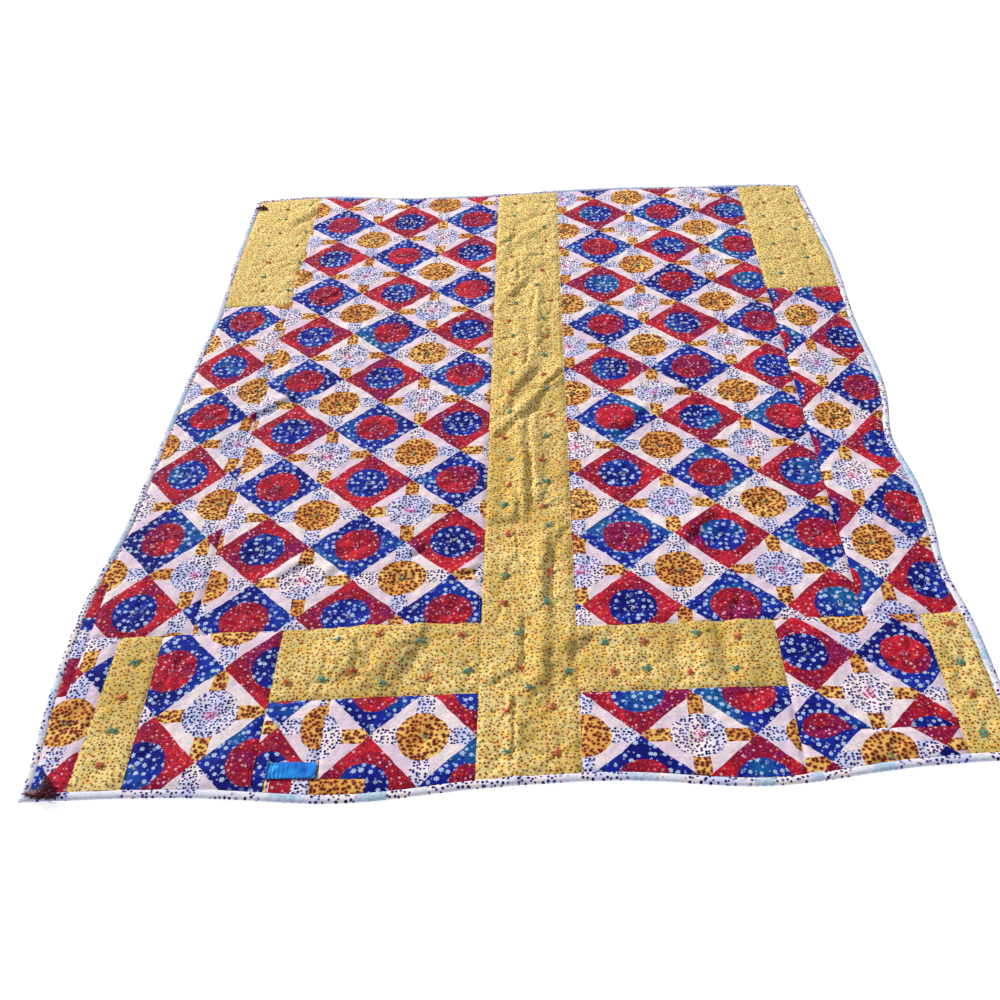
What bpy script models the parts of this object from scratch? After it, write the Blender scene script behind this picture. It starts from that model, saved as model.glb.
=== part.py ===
"""Patchwork quilt lying open on a flat surface, sewn, bound and tied with yarn.

Plan axes: +X across the quilt, +Y from the near edge to the far edge, +Z up.
"""
import math

import bmesh
import bpy

# Driving dimensions in metres
QUILT_WIDTH = 1.830
QUILT_LENGTH = 2.304
LOFT = 0.0052            # layers of cloth between two ties
FOLD_SHEET = 0.0062      # layers of cloth where a fold lifts them off the surface
TIE_DIP = 0.0018         # how far a yarn tie draws the top down
GAP = 0.0003             # clearance between two sewn pieces
BINDING_WIDTH = 0.017
BINDING_CREST = 0.0050   # top of the binding along its middle
BINDING_RIM = 0.0022     # top of the binding at its outer rim
PATCH_THICKNESS = 0.0012
BINDING_MIDDLE = 0.35    # share of the binding's width where it is thickest, from its rim
PRINT_REPEAT = 0.2146    # one diamond of the print, tip to tip
YELLOW_TIE_STEP = 0.088  # spacing of the ties on the yellow cloth
CELL_CLEARANCE = 0.012   # least distance between two lines of a piece's net
EDGE_CLEARANCE = 0.006   # least distance between a wavy edge and the first line inside it
CREASE_COLUMN = 0.023    # closer net columns in the creased centre strip
ON_A_TIE = 0.02          # a crossing this near to a tie, in tie steps, is its place
REACH_SAMPLES = 20       # places at which a wavy side is measured

# Outer edges before their waves: distance from the middle at the left or near end, at the other end
EDGE_ENDS = {
    "near": (1.190, 1.110),
    "far": (1.133, 1.141),
    "left": (0.932, 0.918),
    "right": (0.928, 0.897),
}

# Waves of the four outer edges: place along the edge, spread, how far outwards
EDGE_WAVES = {
    "near": ((-0.33, 0.16, 0.031), (0.02, 0.10, 0.005), (0.45, 0.15, 0.033)),
    "far": ((-0.70, 0.16, 0.036), (0.30, 0.28, 0.035), (0.76, 0.12, 0.019)),
    "left": ((-0.90, 0.16, 0.029), (-0.66, 0.12, 0.021), (-0.30, 0.25, 0.007), (0.43, 0.16, -0.012)),
    "right": ((0.68, 0.22, 0.021), (0.10, 0.13, 0.016), (-0.18, 0.08, -0.020), (-0.62, 0.08, -0.017)),
}

# Seams that run away from the near edge: X at the near edge, X at the far edge
LONG_SEAMS = {
    "edge_piece": (-0.8550, -0.8440),
    "near_left_strip": (-0.7522, -0.8206),
    "side_left": (-0.7045, -0.7005),
    "cross_left_end": (-0.5100, -0.5090),
    "under_left": (-0.3906, -0.3900),
    "band_left": (-0.0926, -0.0988),
    "band_right": (0.1061, 0.0953),
    "cross_right_end": (0.5165, 0.4970),
    "side_right": (0.7007, 0.6957),
    "near_right_strip": (0.8203, 0.7924),
}

# Seams that run from side to side: Y at the left edge, Y at the right edge
CROSS_SEAMS = {
    "far_block": (0.4830, 0.5200),
    "row_left": (-0.7970, -0.7220),
    "row_right": (-0.8150, -0.7495),
    "under_cross_left": (-0.9830, -0.9080),
    "under_cross_right": (-0.9810, -0.9260),
    "near_right": (-1.0850, -1.0340),
}

# Narrow pieced strips let into the edges
LEFT_STRIP = {"inner_x": -0.9225, "near_y": -0.9480, "far_y": -0.6430}
NEAR_STRIP = {"left_x": -0.4848, "right_x": -0.2967, "inner_y": -1.1460}
PATCH_FAR_Y = -1.1115

# Folds and puffs: start X, start Y, end X, end Y, half width, height
FOLDS = (
    (-0.015, -0.387, -0.016, -0.072, 0.012, 0.0065),
    (0.023, -0.369, 0.020, -0.076, 0.011, 0.0050),
    (-0.020, -0.064, 0.087, 0.125, 0.014, 0.0075),
    (-0.063, -0.032, 0.012, 0.207, 0.014, 0.0060),
    (0.025, 0.250, 0.026, 0.561, 0.012, 0.0070),
    (-0.021, 0.139, -0.023, 0.392, 0.013, 0.0040),
    (-0.047, 0.525, -0.006, 0.744, 0.014, 0.0060),
    (0.010, 0.677, 0.093, 0.745, 0.015, 0.0040),
    (-0.073, 0.785, 0.051, 0.920, 0.016, 0.0045),
    (-0.018, -1.143, -0.019, -1.006, 0.012, 0.0045),
    (0.038, -0.928, 0.038, -0.495, 0.014, 0.0055),
    (-0.271, -0.930, -0.221, -0.773, 0.020, 0.0065),
    (-0.416, -0.850, -0.331, -0.777, 0.020, 0.0045),
    (0.361, -0.915, 0.363, -0.774, 0.020, 0.0050),
    (0.444, -0.902, 0.447, -0.761, 0.020, 0.0050),
    (-0.670, -0.005, -0.585, 0.027, 0.020, 0.0050),
    (0.452, 0.134, 0.452, 0.134, 0.040, 0.0060),
    (0.231, -0.065, 0.231, -0.065, 0.040, 0.0060),
    (0.226, 0.773, 0.226, 0.773, 0.040, 0.0055),
    (0.448, 0.594, 0.448, 0.594, 0.040, 0.0060),
    (-0.491, 0.328, -0.470, 0.349, 0.045, 0.0050),
    (-0.268, 0.639, -0.268, 0.659, 0.040, 0.0045),
    (-0.819, -0.110, -0.808, 0.051, 0.040, 0.0050),
    (0.806, -0.479, 0.814, -0.379, 0.045, 0.0050),
    (0.338, -0.475, 0.358, -0.394, 0.045, 0.0045),
    (-0.298, -0.466, -0.277, -0.395, 0.045, 0.0045),
)

# Print pieces: left, right, near and far seam, then X and Y of one diamond's centre and its repeats
PRINT_PIECES = {
    "print_main_left": ("side_left", "band_left", "row_left", "edge",
                        -0.3825, -0.7424, PRINT_REPEAT, PRINT_REPEAT),
    "print_main_right": ("band_right", "side_right", "row_right", "edge",
                         0.2244, -0.7265, PRINT_REPEAT, PRINT_REPEAT),
    "print_side_left": ("edge", "side_left", "row_left", "far_block",
                        -0.8294, -0.2761, 0.2000, 0.2255),
    "print_side_right": ("side_right", "edge", "row_right", "far_block",
                         0.8640, 0.0200, 0.1920, 0.2283),
    "print_edge_near_left": ("edge", "edge_piece", "edge", "row_left",
                             -0.7909, -0.8950, 0.2200, 0.2274),
    "print_near_left": ("near_left_strip", "cross_left_end", "edge", "row_left",
                        -0.7230, -0.8835, PRINT_REPEAT, 0.2274),
    "print_under_left_outer": ("cross_left_end", "under_left", "edge", "under_cross_left",
                               -0.4800, -0.9213, PRINT_REPEAT, PRINT_REPEAT),
    "print_under_left_inner": ("under_left", "band_left", "edge", "under_cross_left",
                               -0.2985, -0.9420, 0.2080, 0.2246),
    "print_under_right": ("band_right", "cross_right_end", "edge", "under_cross_right",
                          0.2187, -0.9539, 0.2175, 0.2000),
    "print_near_right_upper": ("cross_right_end", "near_right_strip", "near_right", "row_right",
                               0.5602, -0.8590, 0.1989, 0.2000),
    "print_near_right_lower": ("cross_right_end", "near_right_strip", "edge", "near_right",
                               0.5620, -1.0400, 0.2070, 0.2000),
}

# Yellow calico pieces: left, right, near and far seam, then X and Y of one of its ties
YELLOW_PIECES = {
    "yellow_centre": ("band_left", "band_right", "edge", "edge", -0.0435, 0.0274),
    "yellow_far_left": ("edge", "side_left", "far_block", "edge", -0.8058, 0.5650),
    "yellow_far_right": ("side_right", "edge", "far_block", "edge", 0.7538, 0.5944),
    "yellow_cross_left": ("cross_left_end", "band_left", "under_cross_left", "row_left",
                          -0.4615, -0.9176),
    "yellow_cross_right": ("band_right", "cross_right_end", "under_cross_right", "row_right",
                           0.1600, -0.9030),
    "yellow_near_left": ("edge_piece", "near_left_strip", "edge", "row_left", -0.8083, -1.1261),
    "yellow_near_right": ("near_right_strip", "edge", "edge", "row_right", 0.8622, -1.0552),
}

# Corner tufts of yarn: centre X and Y, radius of the knot, length of a lock, radius of a lock
TUFTS = {
    "tuft_near_left": (-0.893, -1.160, 0.0120, 0.034, 0.0026),
    "tuft_far_left": (-0.889, 1.085, 0.0080, 0.017, 0.0020),
}
# Locks of a tuft: direction in degrees, share of the lock's length
TUFT_LOCKS = ((72, 1.00), (88, 0.90), (104, 0.75), (168, 0.80), (184, 1.00), (200, 0.85), (262, 0.55),
              (318, 0.60), (338, 0.75), (356, 0.60))
LOCK_STEPS = 6
LOCK_BEND = 0.25         # radians that a lock turns on its way out
LOCK_TAPER = 0.45        # share of its radius that a lock loses by its tip
KNOT_FLATNESS = 0.55     # height of a knot over its width

# Colours of the six cloths: red, green, blue, roughness
CLOTHS = {
    "print": (0.42, 0.16, 0.34, 0.85),
    "yellow": (0.80, 0.58, 0.20, 0.85),
    "patch": (0.03, 0.25, 0.80, 0.80),
    "pieced": (0.60, 0.12, 0.18, 0.85),
    "binding": (0.78, 0.80, 0.88, 0.80),
    "tuft": (0.12, 0.02, 0.03, 0.90),
}

edge_stations = {"near": set(), "far": set(), "left": set(), "right": set()}
quilt = bpy.data.collections.new("Quilt")
cutters = bpy.data.collections.new("Cutters")


def clear_scene():
    """Remove what the new file starts with, then add the two collections."""
    for item in list(bpy.data.objects):
        bpy.data.objects.remove(item)
    bpy.context.scene.collection.children.link(quilt)
    bpy.context.scene.collection.children.link(cutters)


def cloth_material(node, cloth):
    """Principled material of one piece, in the colour of its cloth."""
    red, green, blue, roughness = CLOTHS[cloth]
    material = bpy.data.materials.new(node)
    material.use_nodes = True
    shader = material.node_tree.nodes["Principled BSDF"]
    shader.inputs["Base Color"].default_value = (red, green, blue, 1.0)
    shader.inputs["Roughness"].default_value = roughness
    shader.inputs["Metallic"].default_value = 0.0
    return material


def add_piece(node, cloth, shape):
    """Turn a bmesh into the named object of one piece."""
    bmesh.ops.recalc_face_normals(shape, faces=shape.faces)
    mesh = bpy.data.meshes.new(node)
    shape.to_mesh(mesh)
    shape.free()
    mesh.materials.append(cloth_material(node, cloth))
    piece = bpy.data.objects.new(node, mesh)
    quilt.objects.link(piece)
    return piece


def between_ends(ends, along, length):
    """Value at a place along a straight line whose two ends are given."""
    return ends[0] + (ends[1] - ends[0]) * (along / length + 0.5)


def edge_at(side, along, inset=0.0):
    """Coordinate of one outer edge at a place along it, moved inwards by inset."""
    length = QUILT_WIDTH if side in ("near", "far") else QUILT_LENGTH
    base = between_ends(EDGE_ENDS[side], along, length)
    wave = sum(out * math.exp(-0.5 * ((along - place) / spread) ** 2)
               for place, spread, out in EDGE_WAVES[side])
    sign = 1 if side in ("far", "right") else -1
    return sign * (base + wave - inset)


def side_at(side, seam, along):
    """Coordinate of one side of a piece: its seam or the inside of the binding."""
    if seam == "edge":
        return edge_at(side, along, BINDING_WIDTH + GAP)
    inwards = 1 if side in ("left", "near") else -1
    if seam in CROSS_SEAMS:
        return between_ends(CROSS_SEAMS[seam], along, QUILT_WIDTH) + inwards * GAP / 2
    return between_ends(LONG_SEAMS[seam], along, QUILT_LENGTH) + inwards * GAP / 2


def fold_height(x, y):
    """Height that the folds and puffs add at one place."""
    height = 0.0
    for start_x, start_y, end_x, end_y, half_width, rise in FOLDS:
        run_x = end_x - start_x
        run_y = end_y - start_y
        length_squared = run_x ** 2 + run_y ** 2
        share = 0.0
        if length_squared > 0:
            share = ((x - start_x) * run_x + (y - start_y) * run_y) / length_squared
            share = min(1.0, max(0.0, share))
        distance = math.hypot(x - start_x - share * run_x, y - start_y - share * run_y)
        height = max(height, rise * math.exp(-0.5 * (distance / half_width) ** 2))
    return height


def net_lines(low, high, origin, step, extra=()):
    """Lines of a piece's net between its two sides: ties at every step, and the extra lines."""
    lines = list(extra)
    first = math.ceil((low + CELL_CLEARANCE - origin) / step)
    last = math.floor((high - CELL_CLEARANCE - origin) / step)
    for count in range(first, last + 1):
        line = origin + count * step
        if all(abs(line - other) > CELL_CLEARANCE for other in extra):
            lines.append(line)
    return [low] + sorted(lines) + [high]


def side_reach(side, seam, low, high):
    """Innermost coordinate of a side over the piece's span."""
    samples = [side_at(side, seam, low + (high - low) * count / REACH_SAMPLES)
               for count in range(REACH_SAMPLES + 1)]
    return max(samples) if side in ("left", "near") else min(samples)


def piece_span(sides):
    """Innermost box of a piece: left, right, near and far coordinate."""
    left, right, near, far = sides
    rough_x = [side_at("left", left, 0.0), side_at("right", right, 0.0)]
    rough_y = [side_at("near", near, 0.0), side_at("far", far, 0.0)]
    return (side_reach("left", left, *rough_y), side_reach("right", right, *rough_y),
            side_reach("near", near, *rough_x), side_reach("far", far, *rough_x))


def is_tied(x, y, ties):
    """True where a yarn tie sits: on every crossing, or on every second one of the print."""
    origin_x, origin_y, step_x, step_y, every_second = ties
    across = (x - origin_x) / step_x
    along = (y - origin_y) / step_y
    if max(abs(across - round(across)), abs(along - round(along))) > ON_A_TIE:
        return False
    return not every_second or (round(across) + round(along)) % 2 == 0


def note_stations(sides, columns, rows):
    """Remember where the net of an edge piece meets the binding."""
    left, right, near, far = sides
    for side, seam, lines in (("near", near, columns), ("far", far, columns),
                              ("left", left, rows), ("right", right, rows)):
        if seam == "edge":
            edge_stations[side].update(round(line, 5) for line in lines[1:-1])


def note_seam_stations(sides):
    """Remember where the seams beside an edge piece meet the binding."""
    left, right, near, far = sides
    for side, seam, crossing in (("near", near, (left, right)), ("far", far, (left, right)),
                                 ("left", left, (near, far)), ("right", right, (near, far))):
        if seam == "edge":
            across = "left" if side in ("near", "far") else "near"
            place = edge_at(side, 0.0)
            edge_stations[side].update(round(side_at(across, name, place) - GAP / 2, 5)
                                       for name in crossing if name != "edge")


def net_place(sides, columns, rows, column, row):
    """Plan position of one crossing of a piece's net."""
    left, right, near, far = sides
    x = columns[column]
    y = rows[row]
    if column == 1:
        x = max(x, side_at("left", left, y) + EDGE_CLEARANCE)
    if row == 1:
        y = max(y, side_at("near", near, x) + EDGE_CLEARANCE)
    for _ in range(3):
        if row == 0:
            y = side_at("near", near, x)
        if row == len(rows) - 1:
            y = side_at("far", far, x)
        if column == 0:
            x = side_at("left", left, y)
        if column == len(columns) - 1:
            x = side_at("right", right, y)
    return x, y


def net_sheet(columns, rows, place):
    """Open sheet with one vertex on every crossing of the net."""
    shape = bmesh.new()
    bmesh.ops.create_grid(shape, x_segments=len(columns) - 1, y_segments=len(rows) - 1, size=1.0)
    for vertex in shape.verts:
        column = round((vertex.co.x + 1) / 2 * (len(columns) - 1))
        row = round((vertex.co.y + 1) / 2 * (len(rows) - 1))
        vertex.co = place(column, row)
    return shape


def cut_notch(shape, notch):
    """Take away the part of an open sheet that a let-in strip fills."""
    low_x, high_x, low_y, high_y = notch
    inside = [face for face in shape.faces
              if low_x < face.calc_center_median().x < high_x
              and low_y < face.calc_center_median().y < high_y]
    bmesh.ops.delete(shape, geom=inside, context="FACES")


def thicken(shape, thickness):
    """Close an open sheet with its underside, which lies flat where it touches."""
    bmesh.ops.triangulate(shape, faces=shape.faces, quad_method="SHORT_EDGE")
    new_parts = bmesh.ops.extrude_face_region(shape, geom=shape.faces[:])["geom"]
    for vertex in new_parts:
        if isinstance(vertex, bmesh.types.BMVert):
            vertex.co.z = max(0.0, vertex.co.z - thickness)
    bmesh.ops.triangulate(shape, faces=shape.faces, quad_method="SHORT_EDGE")


def sew_piece(node, cloth, sides, columns, rows, ties, notches=()):
    """One piece of the top with its folds, ties and let-in notches."""
    def place(column, row):
        x, y = net_place(sides, columns, rows, column, row)
        inner = 0 < column < len(columns) - 1 and 0 < row < len(rows) - 1
        dip = TIE_DIP if inner and is_tied(x, y, ties) else 0.0
        return x, y, LOFT + fold_height(x, y) - dip

    note_stations(sides, columns, rows)
    note_seam_stations(sides)
    shape = net_sheet(columns, rows, place)
    for notch in notches:
        cut_notch(shape, notch)
    thicken(shape, FOLD_SHEET)
    add_piece(node, cloth, shape)


def print_pieces():
    """Pieces of the diamond print, with a tie in the middle of every diamond and square."""
    far_out = QUILT_LENGTH
    left_notch = (-far_out, LEFT_STRIP["inner_x"], LEFT_STRIP["near_y"], LEFT_STRIP["far_y"])
    near_notch = (NEAR_STRIP["left_x"], NEAR_STRIP["right_x"], -far_out, NEAR_STRIP["inner_y"])
    extra_columns = {
        "print_side_left": (LEFT_STRIP["inner_x"],),
        "print_edge_near_left": (LEFT_STRIP["inner_x"],),
        "print_under_left_outer": (NEAR_STRIP["left_x"],),
        "print_under_left_inner": (NEAR_STRIP["right_x"],),
    }
    extra_rows = {
        "print_side_left": (LEFT_STRIP["far_y"],),
        "print_edge_near_left": (LEFT_STRIP["near_y"],),
        "print_under_left_outer": (NEAR_STRIP["inner_y"], PATCH_FAR_Y),
        "print_under_left_inner": (NEAR_STRIP["inner_y"],),
    }
    for node, row in PRINT_PIECES.items():
        sides = row[:4]
        origin_x, origin_y, repeat_x, repeat_y = row[4:]
        left, right, near, far = piece_span(sides)
        columns = net_lines(left, right, origin_x, repeat_x / 4, extra_columns.get(node, ()))
        rows = net_lines(near, far, origin_y, repeat_y / 4, extra_rows.get(node, ()))
        ties = (origin_x, origin_y, repeat_x / 2, repeat_y / 2, True)
        notches = []
        if node in ("print_side_left", "print_edge_near_left"):
            notches.append(left_notch)
        if node in ("print_under_left_outer", "print_under_left_inner"):
            notches.append(near_notch)
        sew_piece(node, "print", sides, columns, rows, ties, notches)


def yellow_pieces():
    """Pieces of yellow calico, tied in straight rows."""
    for node, row in YELLOW_PIECES.items():
        sides = row[:4]
        origin_x, origin_y = row[4:]
        left, right, near, far = piece_span(sides)
        column_step = CREASE_COLUMN if node == "yellow_centre" else YELLOW_TIE_STEP / 2
        tie_column = 4 * CREASE_COLUMN if node == "yellow_centre" else YELLOW_TIE_STEP
        columns = net_lines(left, right, origin_x, column_step)
        rows = net_lines(near, far, origin_y, YELLOW_TIE_STEP / 2)
        ties = (origin_x, origin_y, tie_column, YELLOW_TIE_STEP, False)
        sew_piece(node, "yellow", sides, columns, rows, ties)


def stations_between(side, low, high):
    """Binding stations strictly between two places along one edge."""
    return [place for place in sorted(edge_stations[side]) if low + GAP < place < high - GAP]


def pieced_strips():
    """Narrow strips let into the left and near edges, beside the binding."""
    near_y, far_y, inner_x = LEFT_STRIP["near_y"], LEFT_STRIP["far_y"], LEFT_STRIP["inner_x"]
    rows = [near_y + GAP] + stations_between("left", near_y, far_y) + [far_y - GAP]

    def place_left(column, row):
        x = edge_at("left", rows[row], BINDING_WIDTH + GAP) if column == 0 else inner_x - GAP
        return x, rows[row], LOFT + fold_height(x, rows[row])

    shape = net_sheet([0, 1], rows, place_left)
    thicken(shape, FOLD_SHEET)
    add_piece("pieced_strip_left", "pieced", shape)

    left_x, right_x, inner_y = NEAR_STRIP["left_x"], NEAR_STRIP["right_x"], NEAR_STRIP["inner_y"]
    columns = [left_x + GAP] + stations_between("near", left_x, right_x) + [right_x - GAP]

    def place_near(column, row):
        x = columns[column]
        y = edge_at("near", x, BINDING_WIDTH + GAP) if row == 0 else inner_y - GAP
        return x, y, LOFT + fold_height(x, y)

    shape = net_sheet(columns, [0, 1], place_near)
    thicken(shape, FOLD_SHEET)
    add_piece("pieced_strip_near", "pieced", shape)


def blue_patch():
    """Mended patch that lies on the print piece under the left cross piece."""
    left, right, near, far = piece_span(PRINT_PIECES["print_under_left_outer"][:4])
    origin_x, origin_y, repeat_x, repeat_y = PRINT_PIECES["print_under_left_outer"][4:]
    all_columns = net_lines(left, right, origin_x, repeat_x / 4, (NEAR_STRIP["left_x"],))
    all_rows = net_lines(near, far, origin_y, repeat_y / 4, (NEAR_STRIP["inner_y"], PATCH_FAR_Y))
    columns = [line for line in all_columns if line >= NEAR_STRIP["left_x"]]
    rows = [line for line in all_rows if NEAR_STRIP["inner_y"] <= line <= PATCH_FAR_Y]

    def place(column, row):
        x, y = columns[column], rows[row]
        return x, y, LOFT + fold_height(x, y) + GAP + PATCH_THICKNESS

    shape = net_sheet(columns, rows, place)
    thicken(shape, PATCH_THICKNESS)
    add_piece("patch_blue", "patch", shape)


def binding_strip(side):
    """Binding of one side: it follows the wavy edge and thins towards its rim."""
    along_x = side in ("near", "far")
    ends = ("left", "right") if along_x else ("near", "far")
    corner = edge_at(side, 0.0)
    if along_x:
        outer = [edge_at(end, corner) for end in ends]
        inner = [edge_at(end, corner, BINDING_WIDTH) for end in ends]
        stations = [outer[0], inner[0]] + stations_between(side, inner[0], inner[1]) + [inner[1], outer[1]]
    else:
        inner = [edge_at(end, corner, BINDING_WIDTH + GAP) for end in ends]
        stations = [inner[0]] + stations_between(side, inner[0], inner[1]) + [inner[1]]
    insets = (0.0, BINDING_WIDTH * BINDING_MIDDLE, BINDING_WIDTH)
    tops = (BINDING_RIM, BINDING_CREST, LOFT)

    def place(station, line):
        along = stations[station]
        across = edge_at(side, along, insets[line])
        if not along_x and station in (0, len(stations) - 1):
            along = edge_at(ends[0] if station == 0 else ends[1], across, BINDING_WIDTH + GAP)
        x, y = (along, across) if along_x else (across, along)
        return x, y, tops[line] + fold_height(x, y)

    shape = net_sheet(stations, insets, place)
    thicken(shape, FOLD_SHEET)
    add_piece("binding_" + side, "binding", shape)


def tuft_lock(node, count, tuft, direction, share):
    """One tapered lock of yarn: out of the knot, then level just above the cloth."""
    centre_x, centre_y, knot_radius, length, lock_radius = tuft
    reach = knot_radius * 0.5 + length * share
    heading = math.radians(direction)
    curve = bpy.data.curves.new(f"{node}_lock_{count}", "CURVE")
    curve.dimensions = "3D"
    curve.bevel_depth = lock_radius
    curve.bevel_resolution = 0
    curve.use_fill_caps = True
    spline = curve.splines.new("POLY")
    spline.points.add(LOCK_STEPS)
    for step in range(LOCK_STEPS + 1):
        progress = step / LOCK_STEPS
        distance = knot_radius * 0.2 + reach * progress
        x = centre_x + distance * math.cos(heading + LOCK_BEND * progress)
        y = centre_y + distance * math.sin(heading + LOCK_BEND * progress)
        lift = knot_radius * KNOT_FLATNESS * math.cos(progress * math.pi / 2)
        spline.points[step].co = (x, y, LOFT + 3 * GAP + lock_radius + lift, 1.0)
        spline.points[step].radius = 1.0 - LOCK_TAPER * progress
    loose = bpy.data.objects.new(curve.name, curve)
    cutters.objects.link(loose)
    return loose


def solid_from_curve(loose):
    """Mesh object of a capped curve, with its caps welded on."""
    depsgraph = bpy.context.evaluated_depsgraph_get()
    mesh = bpy.data.meshes.new_from_object(loose.evaluated_get(depsgraph))
    shape = bmesh.new()
    shape.from_mesh(mesh)
    bmesh.ops.remove_doubles(shape, verts=shape.verts, dist=0.00001)
    bmesh.ops.recalc_face_normals(shape, faces=shape.faces)
    shape.to_mesh(mesh)
    shape.free()
    solid = bpy.data.objects.new(loose.name + "_solid", mesh)
    solid.matrix_world = loose.matrix_world
    cutters.objects.link(solid)
    solid.hide_render = True
    solid.display_type = "WIRE"
    bpy.data.objects.remove(loose)
    return solid


def corner_tuft(node):
    """Yarn tuft on a corner: a flattened knot with its locks joined on."""
    tuft = TUFTS[node]
    centre_x, centre_y, knot_radius = tuft[:3]
    shape = bmesh.new()
    bmesh.ops.create_uvsphere(shape, u_segments=10, v_segments=6, radius=knot_radius)
    base = LOFT + 2 * GAP
    for vertex in shape.verts:
        height = (vertex.co.z + knot_radius) * KNOT_FLATNESS
        vertex.co = (vertex.co.x + centre_x, vertex.co.y + centre_y, base + height)
    knot = add_piece(node, "tuft", shape)
    for count, (direction, share) in enumerate(TUFT_LOCKS):
        loose = tuft_lock(node, count, tuft, direction, share)
        bpy.context.view_layer.update()
        joined = knot.modifiers.new(f"Lock {count}", "BOOLEAN")
        joined.operation = "UNION"
        joined.solver = "EXACT"
        joined.object = solid_from_curve(loose)


def centre_on_origin():
    """Put the origin under the middle of the outline."""
    places = [vertex.co for piece in quilt.objects for vertex in piece.data.vertices]
    shift_x = -(min(place.x for place in places) + max(place.x for place in places)) / 2
    shift_y = -(min(place.y for place in places) + max(place.y for place in places)) / 2
    for piece in list(quilt.objects) + list(cutters.objects):
        for vertex in piece.data.vertices:
            vertex.co.x += shift_x
            vertex.co.y += shift_y


clear_scene()
print_pieces()
yellow_pieces()
pieced_strips()
blue_patch()
for edge_name in ("near", "far", "left", "right"):
    binding_strip(edge_name)
for tuft_name in TUFTS:
    corner_tuft(tuft_name)
centre_on_origin()
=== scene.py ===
import math

import bpy
import numpy as np
from mathutils import Matrix, Vector, noise


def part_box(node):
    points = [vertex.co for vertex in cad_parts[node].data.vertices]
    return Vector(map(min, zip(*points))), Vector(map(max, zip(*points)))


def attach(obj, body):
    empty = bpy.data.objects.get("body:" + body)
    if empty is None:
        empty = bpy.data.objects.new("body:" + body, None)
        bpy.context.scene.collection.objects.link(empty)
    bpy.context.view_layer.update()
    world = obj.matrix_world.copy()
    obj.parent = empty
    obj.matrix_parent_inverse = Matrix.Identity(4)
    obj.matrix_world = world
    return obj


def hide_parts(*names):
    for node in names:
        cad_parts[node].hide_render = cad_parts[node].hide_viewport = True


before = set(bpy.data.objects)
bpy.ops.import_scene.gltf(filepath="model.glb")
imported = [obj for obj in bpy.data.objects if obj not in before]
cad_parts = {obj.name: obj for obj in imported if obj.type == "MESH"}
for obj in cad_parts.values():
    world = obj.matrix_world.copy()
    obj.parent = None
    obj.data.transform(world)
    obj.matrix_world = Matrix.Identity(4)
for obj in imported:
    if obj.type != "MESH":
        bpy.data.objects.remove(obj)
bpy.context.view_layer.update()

print("frame loaded:", len(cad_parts), "nodes")

# Spans and layers shared by every piece, metres
quilt = {
    "width": 1.830,        # nominal spans that the tables count along
    "length": 2.304,
    "loft": 0.0052,        # height of the flat top
    "sheet": 0.0062,       # thickness where a fold lifts the cloth
    "gap": 0.0003,         # between two sewn pieces
    "binding": 0.017,      # width of the binding
    "fineStep": 0.0058,    # size of a mesh cell
    "seed": 11,
}

# The tables are written in the plan that the quilt was measured in; the frame is centred
patchLow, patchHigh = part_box("patch_blue")
planShift = (patchLow[0] + 0.4848, patchHigh[1] + 1.1115)

edges = {  # distance from the middle at the two ends, then waves: place, spread, how far out;
           # a fit to points picked in the photo gave the ends and how far out
    "near": {"ends": (1.190, 1.110),
             "waves": ((-0.33, 0.16, 0.031), (0.02, 0.10, 0.005), (0.45, 0.15, 0.033))},
    "far": {"ends": (1.133, 1.141),
            "waves": ((-0.70, 0.16, 0.036), (0.30, 0.28, 0.035), (0.76, 0.12, 0.019))},
    "left": {"ends": (0.932, 0.918), "waves": ((-0.90, 0.16, 0.029), (-0.66, 0.12, 0.021),
                                               (-0.30, 0.25, 0.007), (0.43, 0.16, -0.012))},
    "right": {"ends": (0.928, 0.897), "waves": ((0.68, 0.22, 0.021), (0.10, 0.13, 0.016),
                                                (-0.18, 0.08, -0.020), (-0.62, 0.08, -0.017))},
}

longSeams = {  # X at the near edge, X at the far edge
    "edge_piece": (-0.8550, -0.8440), "near_left_strip": (-0.7522, -0.8206), "side_left": (-0.7045, -0.7005),
    "cross_left_end": (-0.5100, -0.5090), "under_left": (-0.3906, -0.3900), "band_left": (-0.0926, -0.0988),
    "band_right": (0.1061, 0.0953), "cross_right_end": (0.5165, 0.4970), "side_right": (0.7007, 0.6957),
    "near_right_strip": (0.8203, 0.7924),
}

crossSeams = {  # Y at the left edge, Y at the right edge
    "far_block": (0.4830, 0.5200), "row_left": (-0.7970, -0.7220), "row_right": (-0.8150, -0.7495),
    "under_cross_left": (-0.9830, -0.9080), "under_cross_right": (-0.9810, -0.9260),
    "near_right": (-1.0850, -1.0340),
}

strips = {
    "left": {"inner": -0.9225, "near": -0.9480, "far": -0.6430},
    "near": {"left": -0.4848, "right": -0.2967, "inner": -1.1460},
}

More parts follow.
